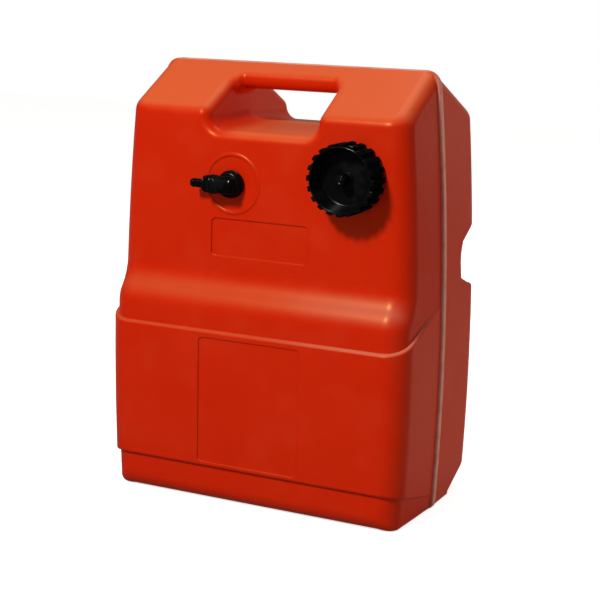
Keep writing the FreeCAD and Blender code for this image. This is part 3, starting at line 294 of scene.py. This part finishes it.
# %% Grain group
grain_group, start, end = start_group(
    "mould_grain", [("Size", 0.0016), ("Coarse", 0.012)], ["Height", "Swell"]
)
place = object_place(grain_group)
fine = add(grain_group, "TexNoise", {
    "Vector": place, "Scale": math_node(grain_group, "DIVIDE", 1.0, start.outputs["Size"]),
    "Detail": 3.0, "Roughness": 0.55,
})
slow = add(grain_group, "TexNoise", {
    "Vector": place, "Scale": math_node(grain_group, "DIVIDE", 1.0, start.outputs["Coarse"]),
    "Detail": 1.0, "Roughness": 0.4,
})
grain_group.links.new(fine.outputs["Fac"], end.inputs["Height"])
grain_group.links.new(slow.outputs["Fac"], end.inputs["Swell"])
print("grain group:", [socket.name for socket in grain_group.interface.items_tree])

# %% Scratch group
SCRATCH_TURNS, SCRATCH_LENGTHEN, SCRATCH_FINENESS = (0.5, 1.35, 2.6), 0.05, 420.0

scratch_group, start, end = start_group(
    "hairline_scratches", [("Spacing", 0.02), ("Amount", 0.5)], ["Height", "Rubbed"]
)
place = object_place(scratch_group)
patches = add(scratch_group, "TexNoise", {
    "Vector": place, "Scale": math_node(scratch_group, "DIVIDE", 1.0, start.outputs["Spacing"]),
    "Detail": 2.0,
})
lines = []
for turn in SCRATCH_TURNS:
    stretched = add(scratch_group, "Mapping", {
        "Vector": place, "Rotation": (turn, turn * 0.7, turn * 1.3),
        "Scale": (1.0, SCRATCH_LENGTHEN, 1.0),
    })
    streak = add(scratch_group, "TexNoise", {
        "Vector": stretched.outputs[0], "Scale": SCRATCH_FINENESS, "Detail": 1.0,
    })
    lines.append(ramp(scratch_group, streak.outputs["Fac"], 0.70, 0.76))
where = ramp(scratch_group, patches.outputs["Fac"], 0.5, 0.68)
any_line = math_node(scratch_group, "MAXIMUM", *lines)
marks = math_node(scratch_group, "MULTIPLY", any_line, where, start.outputs["Amount"])
rubbed = math_node(scratch_group, "MULTIPLY", where, start.outputs["Amount"])
scratch_group.links.new(marks, end.inputs["Height"])
scratch_group.links.new(rubbed, end.inputs["Rubbed"])
print("scratch group with", len(lines), "directions")

# %% Mottle group
mottle_group, start, end = start_group("slow_mottle", [("Size", 0.12)], ["Shade"])
cloud = add(mottle_group, "TexNoise", {
    "Vector": object_place(mottle_group),
    "Scale": math_node(mottle_group, "DIVIDE", 1.0, start.outputs["Size"]),
    "Detail": 4.0, "Roughness": 0.6, "Distortion": 0.4,
})
mottle_group.links.new(ramp(mottle_group, cloud.outputs["Fac"], 0.3, 0.7), end.inputs["Shade"])
print("mottle group:", [socket.name for socket in mottle_group.interface.items_tree])

# %% [markdown]
# ## Red polyethylene
# The tank is blown from pigmented polyethylene. The skin is satin, with a fine orange-peel surface
# from the mould. Masks mix its colours. Faces that look up get a painted sheen, a paler orange that
# stands in for the light they catch from above. The roofs get the most, and the belly gets a
# painted highlight that is pinker towards the right. The painted sheen is left off the left end of
# the hand opening's floor, which the grip shades, so that floor stays deep red. Where the two mould
# halves close, the plastic is pinched and pale. A painted highlight of the rib's lit flank adds to
# this, so the seam rib reads as a whitish stripe. And handling has rubbed it here and there. The
# grain goes to the bump, over edges that a Bevel node rounds for the shading. The ring round the
# outlet is very low, so the painted sheen leaves it out, and its normals are eased towards the
# face's own.


# %% Helpers for wear and relief
def distance_from_axis(tree, spot, centre):
    """How far a point is from an axis that runs along Y through a centre."""
    across = math_node(tree, "POWER", math_node(tree, "SUBTRACT", spot.outputs["X"], centre.x), 2.0)
    up = math_node(tree, "POWER", math_node(tree, "SUBTRACT", spot.outputs["Z"], centre.z), 2.0)
    return math_node(tree, "SQRT", math_node(tree, "ADD", across, up))


def ease_normal(tree, share, radius, samples, towards):
    """A normal that is rounded at edges and turned by a share towards one direction."""
    soft_edge = add(tree, "Bevel", {"Radius": radius}, samples=samples)
    eased = {0: share, 4: soft_edge.outputs[0], 5: towards}
    return add(tree, "Mix", eased, data_type="VECTOR").outputs[1]


def worn_height(tree, grain, scratches, fine, coarse, cut):
    """Grain of two sizes, with the scratches cut into it, each by its own share."""
    pebbles = math_node(tree, "MULTIPLY", grain.outputs["Height"], fine)
    swell = math_node(tree, "MULTIPLY", grain.outputs["Swell"], coarse)
    cuts = math_node(tree, "MULTIPLY", scratches.outputs["Height"], cut)
    return math_node(tree, "SUBTRACT", math_node(tree, "ADD", pebbles, swell), cuts)


def relief(tree, shader, height, strength, distance, **more):
    """Let a height drive the shader's normal through a Bump node."""
    bump = add(tree, "Bump", {
        "Height": height, "Strength": strength, "Distance": distance, **more,
    })
    tree.links.new(bump.outputs["Normal"], shader.inputs["Normal"])


print("wear and relief helpers ready")

# %% Skin: deep red and its painted sheen
SIDE, TOP = CAD_BOX[1][0], CAD_BOX[1][2]
RING_REACH, RING_BLUR = 33.0 * MM, 6.0 * MM
SHADE_LOW, SHADE_HIGH = (TOP - 90 * MM, TOP - 75 * MM), (TOP - 50 * MM, TOP - 40 * MM)
SHADE_RIGHT = (-60 * MM, -20 * MM)
# The belly and roof colours are a painted sheen and highlight on faces that look up, not the
# plastic's own colour.
BELLY_TO_ROOF, BELLY_TO_RIGHT = (TOP - 110 * MM, TOP - 70 * MM), (0.0, 115 * MM)
SHEEN_FACING = (0.12, 0.95)
DEEP_RED, CLEAR_RED = (0.568, 0.0125, 0.0006, 1), (0.580, 0.0142, 0.0010, 1)
ROOF_PAINTED_SHEEN = (0.655, 0.098, 0.028, 1)
BELLY_PAINTED_SHEEN, BELLY_PAINTED_HIGHLIGHT = (0.57, 0.070, 0.021, 1), (0.575, 0.145, 0.085, 1)

skin, tree, shader = new_material("blown_polyethylene")
place = object_place(tree)
spot = add(tree, "SeparateXYZ", {0: place})
facing = add(tree, "SeparateXYZ", {0: add(tree, "NewGeometry").outputs["Normal"]})
mottle = use_group(tree, mottle_group, Size=0.11)
deep = blend_colour(tree, mottle.outputs["Shade"], DEEP_RED, CLEAR_RED)
# The painted sheen is held back where the grip shades the hand opening's floor, and round the
# outlet's ring.
grip_floor = math_node(
    tree, "MULTIPLY", ramp(tree, spot.outputs["Z"], *SHADE_LOW),
    ramp(tree, spot.outputs["Z"], *SHADE_HIGH, 1.0, 0.0),
    ramp(tree, spot.outputs["X"], *SHADE_RIGHT, 1.0, 0.0),
)
off_ring = ramp(tree, distance_from_axis(tree, spot, OUTLET), RING_REACH, RING_REACH + RING_BLUR)
# Painted sheen: faces that look up turn a paler orange, which stands in for the light they catch
# from above.
painted_sheen_share = math_node(
    tree, "MULTIPLY", ramp(tree, facing.outputs["Z"], *SHEEN_FACING),
    math_node(tree, "SUBTRACT", 1.0, grip_floor), off_ring,
)
# The painted highlight on the belly turns paler and pinker towards the right, and the roofs take a
# painted orange sheen.
belly = blend_colour(
    tree, ramp(tree, spot.outputs["X"], *BELLY_TO_RIGHT), BELLY_PAINTED_SHEEN, BELLY_PAINTED_HIGHLIGHT
)
painted_sheen_colour = blend_colour(tree, ramp(tree, spot.outputs["Z"], *BELLY_TO_ROOF), belly, ROOF_PAINTED_SHEEN)
red_with_painted_sheen = blend_colour(tree, painted_sheen_share, deep, painted_sheen_colour)
print("skin's red has", len(tree.nodes), "nodes")

# %% Skin: the pale seam and its painted highlight
RIB_HALF, RIB_INSIDE, RIB_OUTSIDE = 4.0 * MM, 0.6 * MM, 2.4 * MM
SIDE_BAND, TOP_BAND = (SIDE - 23 * MM, SIDE - 15 * MM), (TOP - 1.5 * MM, TOP - 0.5 * MM)
# Pale colour of the pinched seam plastic, with a painted highlight of the rib's lit flank mixed
# into it.
PINCHED_AND_LIT_RIB, RIB_PALE_AND_LIT_SHARE = (0.76, 0.38, 0.31, 1), 0.78

from_seam = math_node(tree, "ABSOLUTE", spot.outputs["Y"])
on_rib = ramp(tree, from_seam, RIB_HALF - RIB_INSIDE, RIB_HALF + RIB_OUTSIDE, 1.0, 0.0)
from_middle = math_node(tree, "ABSOLUTE", spot.outputs["X"])
at_side = ramp(tree, from_middle, *SIDE_BAND)
at_top = ramp(tree, spot.outputs["Z"], *TOP_BAND)
ragged = add(tree, "TexNoise", {"Vector": place, "Scale": 60.0, "Detail": 3.0})
# The pale stripe is pinched plastic together with a painted highlight of the rib's lit flank.
rib_pale_and_lit = math_node(
    tree, "MULTIPLY", on_rib, math_node(tree, "MAXIMUM", at_side, at_top),
    ramp(tree, ragged.outputs["Fac"], 0.25, 0.6, 0.55, 1.0), RIB_PALE_AND_LIT_SHARE,
)
red_with_pale_lit_rib = blend_colour(tree, rib_pale_and_lit, red_with_painted_sheen, PINCHED_AND_LIT_RIB)
print("seam is pale to", (RIB_HALF + RIB_OUTSIDE) / MM, "mm from its middle")

# %% Skin: wear, gloss and relief
SKIN_ROUGHNESS, SKIN_DULLING = 0.32, 0.05
RUBBED_RED, RUBBED_SHARE = (0.70, 0.10, 0.04, 1), 0.05
FACE_NORMAL, FACE_BAND, CALM_SHARE = (0.0, -1.0, 0.03), 3.0 * MM, 0.62

scratches = use_group(tree, scratch_group, Spacing=0.045, Amount=1.0)
rubbed = math_node(tree, "MULTIPLY", scratches.outputs["Rubbed"], RUBBED_SHARE)
tree.links.new(blend_colour(tree, rubbed, red_with_pale_lit_rib, RUBBED_RED), shader.inputs["Base Color"])
dulled = math_node(tree, "MULTIPLY", mottle.outputs["Shade"], SKIN_DULLING)
tree.links.new(math_node(tree, "ADD", SKIN_ROUGHNESS, dulled), shader.inputs["Roughness"])
shader.inputs["Specular IOR Level"].default_value = 0.34
shader.inputs["Specular Tint"].default_value = (1.0, 0.62, 0.20, 1)
in_front = ramp(tree, spot.outputs["Y"], FACE - FACE_BAND, FACE + FACE_BAND, CALM_SHARE, 0.0)
calm = math_node(tree, "MULTIPLY", math_node(tree, "SUBTRACT", 1.0, off_ring), in_front)
grain = use_group(tree, grain_group, Size=0.0019, Coarse=0.014)
relief(
    tree, shader, worn_height(tree, grain, scratches, 0.35, 0.9, 0.25), 0.35, 0.0003,
    Normal=ease_normal(tree, calm, 0.0018, 4, FACE_NORMAL),
)
print("skin ready with", len(tree.nodes), "nodes")

# %% [markdown]
# ## Black fittings
# The cap, its knob, the elbow, the nut and the barb are moulded from a black plastic with a half
# gloss. A moulded edge is never sharp. The Bevel node rounds the edges for the shading alone, which
# is enough to make them catch the light, and leaves the mesh as it is. The cap's lugs and the
# elbow are softer still, so there the normals are also eased towards the front, which keeps
# their many small faces from sparkling.

# %% Black plastic
LUG_STARTS, LUG_ENDS = (31.9 * MM, 32.3 * MM), (36.0 * MM, 38.0 * MM)
ELBOW_ENDS = (55.0 * MM, 60.0 * MM)
LUG_SHARE, ELBOW_SHARE, FRONT = 0.55, 0.30, (0.0, -1.0, 0.0)
BLACK_ROUGHNESS, BLACK_DULLING = 0.16, 0.07
DEEP_BLACK, DUSTY_BLACK = (0.0014, 0.0015, 0.0017, 1), (0.0030, 0.0031, 0.0033, 1)
RUBBED_BLACK, BLACK_RUBBED_SHARE = (0.03, 0.03, 0.03, 1), 0.10

black, tree, shader = new_material("moulded_black")
mottle = use_group(tree, mottle_group, Size=0.03)
colour = blend_colour(tree, mottle.outputs["Shade"], DEEP_BLACK, DUSTY_BLACK)
scratches = use_group(tree, scratch_group, Spacing=0.018, Amount=1.0)
rubbed = math_node(tree, "MULTIPLY", scratches.outputs["Rubbed"], BLACK_RUBBED_SHARE)
colour = blend_colour(tree, rubbed, colour, RUBBED_BLACK)
tree.links.new(colour, shader.inputs["Base Color"])
dulled = math_node(tree, "MULTIPLY", mottle.outputs["Shade"], BLACK_DULLING)
tree.links.new(math_node(tree, "ADD", BLACK_ROUGHNESS, dulled), shader.inputs["Roughness"])
shader.inputs["Specular IOR Level"].default_value = 0.17
shader.inputs["Specular Tint"].default_value = (0.88, 0.96, 1.0, 1)
spot = add(tree, "SeparateXYZ", {0: object_place(tree)})
from_cap = distance_from_axis(tree, spot, FILLER)
lugs = math_node(
    tree, "MULTIPLY", ramp(tree, from_cap, *LUG_STARTS),
    ramp(tree, from_cap, *LUG_ENDS, LUG_SHARE, 0.0),
)
elbow_area = ramp(tree, distance_from_axis(tree, spot, OUTLET), *ELBOW_ENDS, ELBOW_SHARE, 0.0)
softened = math_node(tree, "MAXIMUM", lugs, elbow_area)
grain = use_group(tree, grain_group, Size=0.0007, Coarse=0.006)
relief(
    tree, shader, worn_height(tree, grain, scratches, 0.5, 1.0, 0.3), 0.25, 0.0001,
    Normal=ease_normal(tree, softened, 0.0011, 6, FRONT),
)
print("black plastic ready with", len(tree.nodes), "nodes")

# %% [markdown]
# ## The small hidden pieces
# A brass bush shows the rings that the lathe left, so its bump is bands across its own axis.
# Rubber is nearly black, dull and dusty. The fuel tube is smoother rubber. The clips are spring
# steel with a rolled grain. The slip washer is undyed polyethylene, and the strainer is a woven
# nylon screen, whose threads are drawn with two sets of waves.


# %% Mottled colour and gloss
def mottled(tree, shader, size, dark, light, smooth, rough):
    """Let a slow mottle vary the colour and the roughness between two values each."""
    shade = use_group(tree, mottle_group, Size=size).outputs["Shade"]
    tree.links.new(blend_colour(tree, shade, dark, light), shader.inputs["Base Color"])
    tree.links.new(ramp(tree, shade, 0.0, 1.0, smooth, rough), shader.inputs["Roughness"])


print("mottled helper ready")

# %% Turned brass
brass, tree, shader = new_material("turned_brass")
shader.inputs["Metallic"].default_value = 1.0
mottled(tree, shader, 0.008, (0.60, 0.40, 0.14, 1), (0.74, 0.53, 0.21, 1), 0.22, 0.36)
rings = add(tree, "TexWave", {
    "Vector": object_place(tree), "Scale": 900.0, "Distortion": 0.4,
}, bands_direction="Y")
relief(tree, shader, rings.outputs["Fac"], 0.15, 0.00005)
print("brass ready")


# %% Rubber and tube
def rubber(name, dark, light, smooth, rough, grain_size):
    """A dark rubber with a dusty mottle."""
    made, tree, shader = new_material(name)
    mottled(tree, shader, 0.02, dark, light, smooth, rough)
    shader.inputs["Specular IOR Level"].default_value = 0.3
    grain = use_group(tree, grain_group, Size=grain_size, Coarse=0.004)
    relief(tree, shader, grain.outputs["Height"], 0.3, 0.0001)
    return made


seal = rubber(
    "nitrile_seal", (0.008, 0.008, 0.008, 1), (0.020, 0.019, 0.018, 1), 0.56, 0.68, 0.0004
)
tube = rubber(
    "fuel_tube_rubber", (0.012, 0.012, 0.013, 1), (0.026, 0.026, 0.027, 1), 0.36, 0.48, 0.0008
)
print("rubbers ready:", seal.name, tube.name)

# %% Spring steel
steel, tree, shader = new_material("spring_steel")
shader.inputs["Metallic"].default_value = 1.0
rolled = add(tree, "Mapping", {"Vector": object_place(tree), "Scale": (1.0, 0.06, 1.0)})
streaks = add(tree, "TexNoise", {"Vector": rolled.outputs[0], "Scale": 1800.0, "Detail": 2.0})
tree.links.new(
    blend_colour(tree, streaks.outputs["Fac"], (0.42, 0.42, 0.41, 1), (0.62, 0.62, 0.60, 1)),
    shader.inputs["Base Color"],
)
tree.links.new(ramp(tree, streaks.outputs["Fac"], 0.3, 0.7, 0.24, 0.40), shader.inputs["Roughness"])
relief(tree, shader, streaks.outputs["Fac"], 0.12, 0.00005)
print("steel ready")

# %% Slip washer
washer, tree, shader = new_material("natural_polyethylene")
mottled(tree, shader, 0.02, (0.68, 0.67, 0.61, 1), (0.76, 0.75, 0.70, 1), 0.42, 0.52)
grain = use_group(tree, grain_group, Size=0.001, Coarse=0.008)
relief(tree, shader, grain.outputs["Height"], 0.2, 0.0001)
print("slip washer ready")

# %% Woven screen
WEAVE = 260.0

screen, tree, shader = new_material("woven_nylon")
place = object_place(tree)
rows = add(tree, "TexWave", {"Vector": place, "Scale": WEAVE}, bands_direction="Z")
columns = add(tree, "TexWave", {"Vector": place, "Scale": WEAVE}, bands_direction="X")
strands = math_node(tree, "MAXIMUM", rows.outputs["Fac"], columns.outputs["Fac"])
raised = ramp(tree, strands, 0.45, 0.8)
tree.links.new(
    blend_colour(tree, raised, (0.05, 0.05, 0.045, 1), (0.55, 0.54, 0.49, 1)),
    shader.inputs["Base Color"],
)
tree.links.new(ramp(tree, strands, 0.4, 1.0, 0.7, 0.45), shader.inputs["Roughness"])
relief(tree, shader, strands, 0.5, 0.0002)
print("screen ready")

# %% [markdown]
# ## Which finish each slot takes
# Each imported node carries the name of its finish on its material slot. One table from those names
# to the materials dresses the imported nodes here, and gives every new piece below the same finish
# as the node that it belongs to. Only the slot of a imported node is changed, never its mesh.

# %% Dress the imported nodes
FINISHES = {
    "tank_plastic": skin, "black_plastic": black, "brass": brass, "seal_rubber": seal,
    "fuel_tube": tube, "clip_steel": steel, "slip_plastic": washer, "mesh_nylon": screen,
}
for node in NODES.values():
    for slot in node.material_slots:
        slot.material = FINISHES[slot.material.name.split(".")[0]]
print("dressed", len(NODES), "nodes")

# %% [markdown]
# ## Turned pieces
# The small fittings on this tank are all round: a lathe or a round mould made them. So one helper
# is enough for their shapes. It starts from a circle on the piece's axis, and extrudes and scales
# it from station to station, which is how a revolve is built up by hand in edit mode. A station is
# a distance along the axis and a radius. A profile that comes back to its start gives a ring. The
# same result could come from the Spin tool, but stations are easier to read off a drawing. A second
# helper finishes each piece: it puts the piece's place into its mesh, merges doubled corners, turns
# the faces outwards, and gives it its finish and the body that it rides on.

# %% Finishing helper
DOUBLED = 0.002 * MM


def finish_piece(piece, name, slot, body, smooth):
    """Give a piece its name, finish and body, and put its place and turn into its mesh."""
    piece.name = name
    bpy.ops.object.select_all(action="DESELECT")
    piece.select_set(True)
    bpy.context.view_layer.objects.active = piece
    bpy.ops.object.transform_apply(location=True, rotation=True, scale=True)
    bpy.ops.object.mode_set(mode="EDIT")
    bpy.ops.mesh.select_all(action="SELECT")
    bpy.ops.mesh.remove_doubles(threshold=DOUBLED)
    bpy.ops.mesh.normals_make_consistent(inside=False)
    bpy.ops.object.mode_set(mode="OBJECT")
    bpy.ops.object.shade_smooth_by_angle(angle=math.radians(smooth))
    piece.data.materials.clear()
    piece.data.materials.append(FINISHES[slot])
    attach(piece, body)
    print(name, "faces", len(piece.data.polygons))
    return piece


# %% Turning helper
def turned(start, along, stations, segments=64, closed=False):
    """A round piece about an axis: along is +X, -X or -Y, stations are (distance, radius) in mm."""
    forward = Vector(along)
    turn = Vector((0, 0, 1)).rotation_difference(forward).to_euler()
    first = stations[0]
    bpy.ops.object.select_all(action="DESELECT")
    bpy.ops.mesh.primitive_circle_add(
        vertices=segments, radius=first[1] * MM, rotation=turn,
        location=start + forward * (first[0] * MM), fill_type="NOTHING" if closed else "NGON",
    )
    piece = bpy.context.object
    bpy.ops.object.mode_set(mode="EDIT")
    bpy.ops.mesh.select_all(action="SELECT")
    for (near, small), (far, large) in zip(stations, stations[1:]):
        bpy.ops.mesh.extrude_region_move(
            TRANSFORM_OT_translate={"value": forward * ((far - near) * MM)}
        )
        grow = large / small
        bpy.ops.transform.resize(
            value=[1.0 if abs(part) > 0.5 else grow for part in forward],
            center_override=start + forward * (far * MM),
        )
    bpy.ops.object.mode_set(mode="OBJECT")
    return piece


def arc_stations(middle_along, middle_radius, size, first, last, count=7):
    """Stations on an arc, from angle first to last in degrees, seen with the axis to the right."""
    made = []
    for step in range(count):
        angle = math.radians(first + (last - first) * step / (count - 1))
        made.append((middle_along + size * math.cos(angle), middle_radius + size * math.sin(angle)))
    return made


print("turning helpers ready")

# %% [markdown]
# ## The elbow's outer shape
# The elbow is one moulding: a low round skirt that turns on the outlet, and across it a branch with
# a closed, domed end. Its branch is the nearer of the two, so from the front it reads as a short
# bar that lies over a disc. Two turned shapes are joined with a Boolean union, as a mould maker
# would merge two bores, and the sharp line where they meet is softened by the finish.

# %% Elbow skirt
OUTWARDS = (0, -1, 0)
SKIRT_FOOT = (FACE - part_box("elbow_body")[1].y) / MM
SKIRT_OUTER, SKIRT_EDGE, SKIRT_SHOULDER, SKIRT_ROUND = 12.8, 0.6, 9.2, 2.2
CROWN_PLACE, CROWN_RADIUS = 11.6, 7.0

skirt = turned(
    Vector((OUTLET.x, FACE, OUTLET.z)), OUTWARDS,
    [(SKIRT_FOOT + 0.02, SKIRT_OUTER - SKIRT_EDGE), (SKIRT_FOOT + 0.5, SKIRT_OUTER),
     (SKIRT_SHOULDER, SKIRT_OUTER)]
    + arc_stations(SKIRT_SHOULDER, SKIRT_OUTER - SKIRT_ROUND, SKIRT_ROUND, 90, 0)[1:]
    + [(CROWN_PLACE, CROWN_RADIUS)],
)
print("skirt starts", SKIRT_FOOT, "mm out of the face")

# %% Elbow branch, and the two joined
BRANCH_PLACE, BRANCH_OUTER = 13.4, 8.8
BRANCH_BACK, BACK_RADIUS, DOME_ROUND = 9.0, 4.6, 3.4
COLLAR_START, COLLAR_END, COLLAR_OUTER, COLLAR_EDGE = 10.6, 14.0, 9.6, 0.4
SCREW_OUTER, SCREW_END = 7.38, 19.98
BRANCH = Vector((OUTLET.x, FACE - BRANCH_PLACE * MM, OUTLET.z))
LEFTWARDS = (-1, 0, 0)

domed_end = arc_stations(
    DOME_ROUND - BRANCH_BACK, BRANCH_OUTER - DOME_ROUND, DOME_ROUND, 180, 90
)
branch = turned(
    BRANCH, LEFTWARDS,
    [(-BRANCH_BACK, BACK_RADIUS)] + domed_end[1:] + [
        (COLLAR_START, BRANCH_OUTER), (COLLAR_START + COLLAR_EDGE, COLLAR_OUTER),
        (COLLAR_END - COLLAR_EDGE, COLLAR_OUTER), (COLLAR_END, COLLAR_OUTER - COLLAR_EDGE),
        (COLLAR_END, SCREW_OUTER), (SCREW_END, SCREW_OUTER),
    ],
)
union = skirt.modifiers.new("join", "BOOLEAN")
union.operation = "UNION"
union.solver = "EXACT"
union.object = branch
bpy.ops.object.select_all(action="DESELECT")
bpy.context.view_layer.objects.active = skirt
skirt.select_set(True)
bpy.ops.object.modifier_apply(modifier=union.name)
bpy.data.objects.remove(branch)
elbow = finish_piece(skirt, "elbow_moulding", "black_plastic", "elbow", 38)
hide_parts("elbow_body")

# %% [markdown]
# ## The union nut
# The nut holds the barb on the branch. Its moulded ridges are for bare fingers, and it narrows
# towards the hose. It is turned as a ring with its bore, then every second pair of columns of
# vertices is drawn in towards the axis, which leaves the ridges standing.

# %% Nut, turned
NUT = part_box("barb_nut")
NUT_START, NUT_END = (OUTLET.x - NUT[1].x) / MM, (OUTLET.x - NUT[0].x) / MM
NUT_BORE, LIP_BORE, NUT_COLUMNS = 7.75, 5.1, 72

start_bead = arc_stations(NUT_START + 1.0, 9.1, 0.95, 170, 20)
grip = [(NUT_START + 2.4, 9.5), (NUT_END - 2.6, 8.3)]
end_bead = arc_stations(NUT_END - 1.1, 7.3, 1.05, 150, 5)
inside = [
    (NUT_END, 6.9), (NUT_END, LIP_BORE), (NUT_END - 1.2, LIP_BORE), (NUT_END - 1.6, 7.1),
    (NUT_END - 2.4, NUT_BORE), (NUT_START, NUT_BORE),
]
nut = turned(
    BRANCH, LEFTWARDS,
    [(NUT_START, NUT_BORE), (NUT_START, 8.9)] + start_bead + grip + end_bead + inside,
    segments=NUT_COLUMNS, closed=True,
)
print("nut from", NUT_START, "to", NUT_END, "mm along the branch")

# %% Nut, ridged
GRIP_MARGIN, GRIP_RADIUS, GROOVE = 2.1, 7.9, 0.93

bpy.ops.object.mode_set(mode="EDIT")
bpy.ops.mesh.select_all(action="DESELECT")
bpy.ops.object.mode_set(mode="OBJECT")
for vertex in nut.data.vertices:
    offset = nut.matrix_world @ vertex.co - BRANCH
    along = -offset.x / MM
    in_grip = NUT_START + GRIP_MARGIN < along < NUT_END - GRIP_MARGIN
    outer = math.hypot(offset.y, offset.z) > GRIP_RADIUS * MM
    column = round(math.atan2(offset.z, offset.y) / math.tau * NUT_COLUMNS) % 4
    vertex.select = in_grip and outer and column in (0, 1)
bpy.ops.object.mode_set(mode="EDIT")
bpy.ops.transform.resize(value=(1, GROOVE, GROOVE), center_override=BRANCH)
bpy.ops.object.mode_set(mode="OBJECT")
nut = finish_piece(nut, "ridged_nut", "black_plastic", "elbow", 25)
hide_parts("barb_nut")

# %% [markdown]
# ## Softened corners in the cap
# A moulded cap has no sharp inner corner: the steel of the mould is rounded there, and the round
# corner is what draws the bright line in the dish. Two thin rings give it: a cove where the dish's
# wall meets its floor, and a rolled lip round the dish's mouth. Each ring's back is sunk in the
# cap. The dish's wall leans outwards, so the cove is a little less than a quarter of a circle.

# %% Cap rings
CAP_AXIS = Vector((FILLER.x, FACE, FILLER.z))
CAP_FRONT = (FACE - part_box("cap_shell")[0].y) / MM
DISH_DEPTH, DISH_FOOT, DISH_MOUTH, RING_COLUMNS = 17.0, 26.5, 31.5, 120
DISH_FLOOR = CAP_FRONT - DISH_DEPTH
COVE, COVE_INSET, COVE_END, LIP, LIP_SUNK = 1.6, 0.77, 104.8, 0.9, 0.6
COVE_START = DISH_FOOT - COVE_INSET * COVE

cove = turned(
    CAP_AXIS, OUTWARDS,
    arc_stations(DISH_FLOOR + COVE, COVE_START, COVE, 180, COVE_END, 9)
    + [(DISH_FLOOR + 1.2, 27.4), (DISH_FLOOR - 0.6, 27.2), (DISH_FLOOR - 0.6, 25.0),
       (DISH_FLOOR, COVE_START)],
    segments=RING_COLUMNS, closed=True,
)
finish_piece(cove, "dish_cove", "black_plastic", "cap", 40)
lip = turned(
    CAP_AXIS, OUTWARDS, arc_stations(CAP_FRONT - LIP_SUNK, DISH_MOUTH, LIP, 0, 360, 17),
    segments=RING_COLUMNS, closed=True,
)
finish_piece(lip, "dish_lip", "black_plastic", "cap", 40)
print("cap front", CAP_FRONT, "dish floor", DISH_FLOOR)

# %% [markdown]
# ## The vent knob's crown
# The knob in the middle of the dish is opened by two fingers. Its end has a rolled rim and a small
# button in the middle, which are what catch the light. The crown is turned over the knob's flat
# end, with its first station sunk in the knob, and it rides with the vent.

# %% Vent crown
KNOB_END = (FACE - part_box("vent_screw")[0].y) / MM
RIM_RADIUS, RIM_ROUND, BUTTON_RADIUS, BUTTON_ROUND = 3.8, 1.2, 2.6, 3.2
CROWN_FLOOR = KNOB_END + 0.1

rim = arc_stations(KNOB_END - 0.4, RIM_RADIUS, RIM_ROUND, 80, -50, 10)
button = arc_stations(KNOB_END - 2.4, 0.0, BUTTON_ROUND, 38, 3, 9)
crown = turned(
    CAP_AXIS, OUTWARDS,
    [(KNOB_END - 1.5, 4.2), (KNOB_END - 0.6, 4.9)] + rim
    + [(CROWN_FLOOR, BUTTON_RADIUS), (CROWN_FLOOR, 2.05)] + button,
    segments=48,
)
finish_piece(crown, "vent_crown", "black_plastic", "vent", 50)

# %% [markdown]
# ## The filler's threads
# The cap screws on the neck by a coarse, blunt thread of almost one turn, the kind that is easy to
# mould and easy to start with cold hands. A thread is one small section carried round the axis, so
# a square is set beside the axis, narrowed on its free side, and swept by the Screw modifier. The
# modifier turns about the object's origin, so the section is moved in edit mode, and it leaves the
# two ends open, so they are filled. The cap's thread starts at another angle, where it lies about
# half a pitch from the neck's. Both rise by one pitch a turn, so they stay apart as the cap turns
# and moves out.

# %% Thread helper
PITCH, SWEEP, THREAD_WIDE, THREAD_CREST = 5.0, 330, 1.9, 0.9


def thread(name, root, crest, first, begin, body, slot):
    """A right-hand thread: radii and first height in mm, begin in degrees from +X towards +Z."""
    bpy.ops.object.select_all(action="DESELECT")
    bpy.ops.mesh.primitive_plane_add(size=1, location=CAP_AXIS)
    piece = bpy.context.object
    bpy.ops.object.mode_set(mode="EDIT")
    bpy.ops.mesh.select_all(action="SELECT")
    bpy.ops.transform.resize(value=(abs(crest - root) * MM, THREAD_WIDE * MM, 1))
    bpy.ops.transform.translate(value=((root + crest) / 2 * MM, -first * MM, 0))
    bpy.ops.mesh.select_all(action="DESELECT")
    bpy.ops.object.mode_set(mode="OBJECT")
    for vertex in piece.data.vertices:
        vertex.select = abs(vertex.co.x - crest * MM) < 0.01 * MM
    bpy.ops.object.mode_set(mode="EDIT")
    bpy.ops.transform.resize(
        value=(1, THREAD_CREST / THREAD_WIDE, 1),
        center_override=CAP_AXIS + Vector((0, -first * MM, 0)),
    )
    bpy.ops.object.mode_set(mode="OBJECT")
    piece.rotation_euler = (0, -math.radians(begin), 0)
    screw = piece.modifiers.new("screw", "SCREW")
    screw.axis = "Y"
    # A negative angle turns from +X towards +Z, and a negative offset goes out of the face.
    screw.angle = -math.radians(SWEEP)
    screw.screw_offset = -PITCH * MM * SWEEP / 360
    screw.steps = screw.render_steps = 72
    screw.use_merge_vertices = False
    bpy.ops.object.modifier_apply(modifier=screw.name)
    bpy.ops.object.mode_set(mode="EDIT")
    bpy.ops.mesh.select_all(action="SELECT")
    bpy.ops.mesh.remove_doubles(threshold=DOUBLED)
    bpy.ops.mesh.fill_holes(sides=6)
    bpy.ops.object.mode_set(mode="OBJECT")
    made = finish_piece(piece, name, slot, body, 40)
    nearest, farthest = made.bound_box[6][1], made.bound_box[0][1]
    print("from", (FACE - nearest) / MM, "to", (FACE - farthest) / MM, "mm out of the face")


# %% Threads
SEAL_EDGE = (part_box("cap_gasket")[1].x - FILLER.x) / MM
NECK_ROOT, NECK_CREST, NECK_FIRST, NECK_BEGIN = 27.8, 29.3, 1.6, 0
CAP_ROOT, CAP_CREST, CAP_FIRST, CAP_BEGIN = 29.95, SEAL_EDGE + 0.15, 2.7, 250

thread("neck_thread", NECK_ROOT, NECK_CREST, NECK_FIRST, NECK_BEGIN, "tank", "tank_plastic")
thread("cap_thread", CAP_ROOT, CAP_CREST, CAP_FIRST, CAP_BEGIN, "cap", "black_plastic")
print("seal edge", SEAL_EDGE, "cap thread crest", CAP_CREST)
